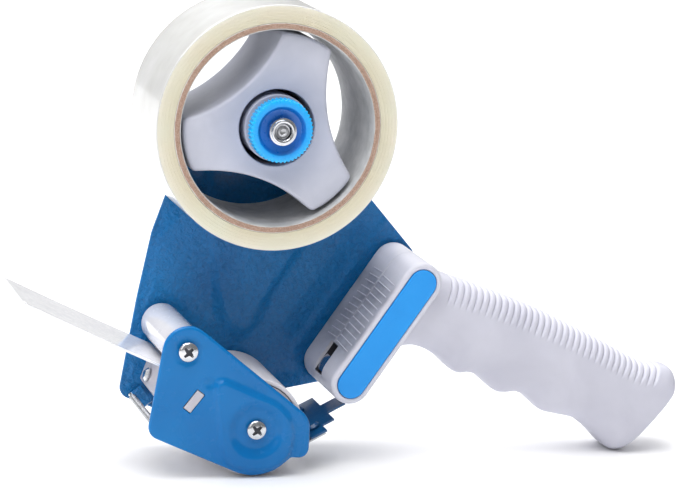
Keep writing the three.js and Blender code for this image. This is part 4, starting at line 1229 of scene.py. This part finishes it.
def build_handle():
    head_plastic = head_finish(HEAD_START, HEAD_SLOPE, HEAD_LENGTH)
    window = slope_box(HEAD_START, HEAD_SLOPE, (-4.6, 9.0), (-1.5, HEAD_RADIUS + 2),
                       (SPLIT_Y - 6.6, SPLIT_Y + 3.4))
    near_head = piece("head_near", *sweep_rings(head_half(True)), head_plastic, "frame", "handle_plastic",
                      ["handle_shell_near"], sharp=40)
    far_head = piece("head_far", *sweep_rings(head_half(False)), head_plastic, "frame", "handle_plastic",
                     ["handle_shell_far"], sharp=40)
    carve(near_head, window)
    carve(far_head, window)
    for name, sign in (("near", -1), ("far", 1)):
        grip = piece(f"grip_{name}", *sweep_rings(grip_rings(sign)), handle_plastic, "frame",
                     "handle_plastic", sharp=60)
    wells = []  # the three shell screws sit in wells in the far half, the last grip made above
    for number in (1, 2, 3):
        low, high = box(f"shell_screw_{number}")
        seat, reach = high[1] - 2.0, HEAD_FAR + 2
        radius = (high[0] - low[0]) / 2 + 0.3
        wells.append(lathe([(0, seat), (radius, seat), (radius, reach), (0, reach)],
                           axis_of(f"shell_screw_{number}"), 40, closed=False))
    carve(grip, *wells)
    # a dark liner inside the latch window: painted shade where the pocket's walls lie in shadow
    y0, y1 = SPLIT_Y - 6.5, SPLIT_Y + 3.3
    liner = [slope_box(HEAD_START, HEAD_SLOPE, along, across, ys) for along, across, ys in (
        ((-4.4, 8.8), (-1.4, -0.9), (y0, y1)),
        ((-4.5, -4.1), (-1.4, 5.6), (y0, y1)),
        ((8.5, 8.9), (-1.4, 7.2), (y0, y1)),
        ((-4.4, 8.8), (-1.4, 7.0), (y1 - 0.4, y1)),
        ((-4.4, 8.8), (-1.4, 7.0), (y0, y0 + 0.4)))]
    piece("latch_pocket", *merge(liner), pocket_shade, "frame", "handle_plastic")
    bars = []
    for i in range(LOUVRES):
        u = LOUVRE_START + i * LOUVRE_PITCH
        bars.append(louvre_bar(u, HEAD_NEAR + 3, SPLIT_Y - 0.8, 0.6))
        bars.append(louvre_bar(u + 0.9, SPLIT_Y + 0.8, HEAD_FAR - 9, -0.6))
    piece("louvre_ribs", *merge(bars), handle_plastic, "frame", "handle_plastic", sharp=50)
    low, high = box("handle_inlay")
    rings = []
    for distance, y in ((5.5, high[1]), (0.3, high[1]), (0.0, high[1] - 0.3), (0.0, low[1] + 0.35),
                        (0.05, low[1] + 0.18), (0.18, low[1] + 0.05), (0.38, low[1]), (5.3, low[1])):
        loop = stadium(HEAD_START, HEAD_END, 5.6 - distance)
        rings.append(np.c_[loop[:, 0], np.full(len(loop), y), loop[:, 1]])
    piece("inlay_strip", *sweep_rings(rings), inlay_plastic, "frame", "inlay_plastic", ["handle_inlay"],
          sharp=40)


# ---------------------------------------------------------------- carried-over CAD nodes

def keep_node(node, material, bevel=0.15, segments=2):
    """A CAD node that stays: its edges softened and its finish assigned."""
    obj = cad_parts[node]
    if not obj.material_slots:
        obj.data.materials.append(material)
    for slot in obj.material_slots:
        slot.link = "OBJECT"
        slot.material = material
    if bevel:
        soft = obj.modifiers.new("soft_edges", "BEVEL")
        soft.width, soft.segments, soft.limit_method = bevel * MM, segments, "ANGLE"
        soft.angle_limit = math.radians(40)
        obj.modifiers.new("even_normals", "WEIGHTED_NORMAL").keep_sharp = True


hub_plastic = hub_finish()
felt = felt_finish()
build_roll()
build_core()
build_hub()
build_knob()
build_locknut()
build_bolt()
build_springs()
build_frame_plate()
build_near_plate()
for which in ("guide", "application"):
    cross_screw(f"{which}_head_near", f"{which}_screw_near", -1, chrome_steel)
    cross_screw(f"{which}_head_far", f"{which}_screw_far", 1, chrome_steel)
for number in (1, 2, 3):
    cross_screw(f"shell_head_{number}", f"shell_screw_{number}", 1, zinc_steel)
for number in (1, 2):
    cross_screw(f"plate_head_{number}", f"plate_screw_{number}", 1, zinc_steel)
build_rollers()
build_leaf()
build_handle()
build_latch()
for node, material, bevel in (
        ("spring_bracket", frame_paint, 0.2),
        ("guide_axle", zinc_steel, 0),
        ("application_axle", zinc_steel, 0),
        ("leaf_holder", grey_plastic, 0.25),
        ("holder_screw_near", chrome_steel, 0.1),
        ("holder_screw_far", chrome_steel, 0.1),
        ("spindle_nut", zinc_steel, 0.2),
        ("friction_washer", felt, 0.1),
        ("brake_washer", zinc_steel, 0.1),
        ("blade_carrier", carrier_paint, 0.12),
        ("cutting_blade", blade_steel, 0.06),
        ("blade_rivet_1", carrier_paint, 0.1),
        ("blade_rivet_2", carrier_paint, 0.1)):
    keep_node(node, material, bevel)


# ---------------------------------------------------------------- stage, lights and camera

def build_stage():
    f = Finish("studio_floor", 0.6, specular=0.2)
    f.colour(f.ramp(f.spread(f.noise(240, 2, 0.5), 0.3, 0.7),
                    [(0, srgb(246, 246, 247)), (1, srgb(250, 250, 250))]))
    f.bump(f.noise(4, 2, 0.5), 0.004)
    rings = []
    for reach in (0.01, 1.21, 2.41, 3.21):
        a = np.linspace(0, 2 * math.pi, 64, endpoint=False)
        rings.append(np.c_[reach * np.cos(a), reach * np.sin(a), np.zeros(64)])
    verts, faces = sweep_rings(rings, caps=False)
    faces.append(tuple(range(64)))
    mesh = bpy.data.meshes.new("studio_floor")
    mesh.from_pydata([tuple(v) for v in verts], [], faces)
    mesh.materials.append(f.material)
    floor = bpy.data.objects.new("studio_floor", mesh)
    bpy.context.scene.collection.objects.link(floor)


def area_light(name, place, target, size, power, colour=(1, 1, 1)):
    data = bpy.data.lights.new(name, "AREA")
    data.shape, data.size, data.size_y, data.energy, data.color = "RECTANGLE", size[0], size[1], power, colour
    obj = bpy.data.objects.new(name, data)
    obj.location = place
    obj.rotation_mode = "QUATERNION"
    obj.rotation_quaternion = (Vector(target) - Vector(place)).to_track_quat("-Z", "Y")
    bpy.context.scene.collection.objects.link(obj)


def build_light():
    world = bpy.data.worlds.new("studio")
    world.use_nodes = True
    background = world.node_tree.nodes["Background"]
    background.inputs["Color"].default_value = (1, 1, 1, 1)
    background.inputs["Strength"].default_value = 0.3
    bpy.context.scene.world = world
    area_light("overhead", (-0.3, -0.05, 1.35), (0, 0, 0.05), (1.5, 1.3), 27)
    area_light("front", (-0.95, -1.1, 0.75), (0, 0, 0.09), (0.5, 0.9), 2.4)
    area_light("left", (-1.5, 0.1, 0.7), (0, 0, 0.09), (0.9, 1.1), 2.6)
    area_light("ridge", (-0.25, -0.9, 1.1), (-0.03, 0, 0.04), (0.9, 0.16), 1.8)
    area_light("backdrop", (0, 2.4, 1.7), (0, 2.2, 0), (4.5, 2.4), 75)


VIEW_AZIMUTH = math.radians(-15.8849)
VIEW_ELEVATION = math.radians(11.34777)
VIEW_ROLL = math.radians(2.5301)
VIEW_PLACE = np.array([-285.7, -1120.2, 320.4])
VIEW_LENS = 159.06


def build_camera():
    a, e, roll = VIEW_AZIMUTH, VIEW_ELEVATION, VIEW_ROLL
    back = Vector((math.sin(a) * math.cos(e), -math.cos(a) * math.cos(e), math.sin(e)))
    right = Vector((math.cos(a), math.sin(a), 0))
    up = back.cross(right)
    right, up = right * math.cos(roll) + up * math.sin(roll), up * math.cos(roll) - right * math.sin(roll)
    data = bpy.data.cameras.new("camera")
    data.lens, data.sensor_width, data.clip_end = VIEW_LENS, 36, 20
    camera = bpy.data.objects.new("camera", data)
    place = VIEW_PLACE * MM + ORIGIN
    camera.matrix_world = Matrix(((right.x, up.x, back.x, place[0]), (right.y, up.y, back.y, place[1]),
                                  (right.z, up.z, back.z, place[2]), (0, 0, 0, 1)))
    bpy.context.scene.collection.objects.link(camera)
    bpy.context.scene.camera = camera


build_stage()
build_light()
build_camera()
bpy.context.scene.view_settings.view_transform = "Standard"
bpy.context.view_layer.update()
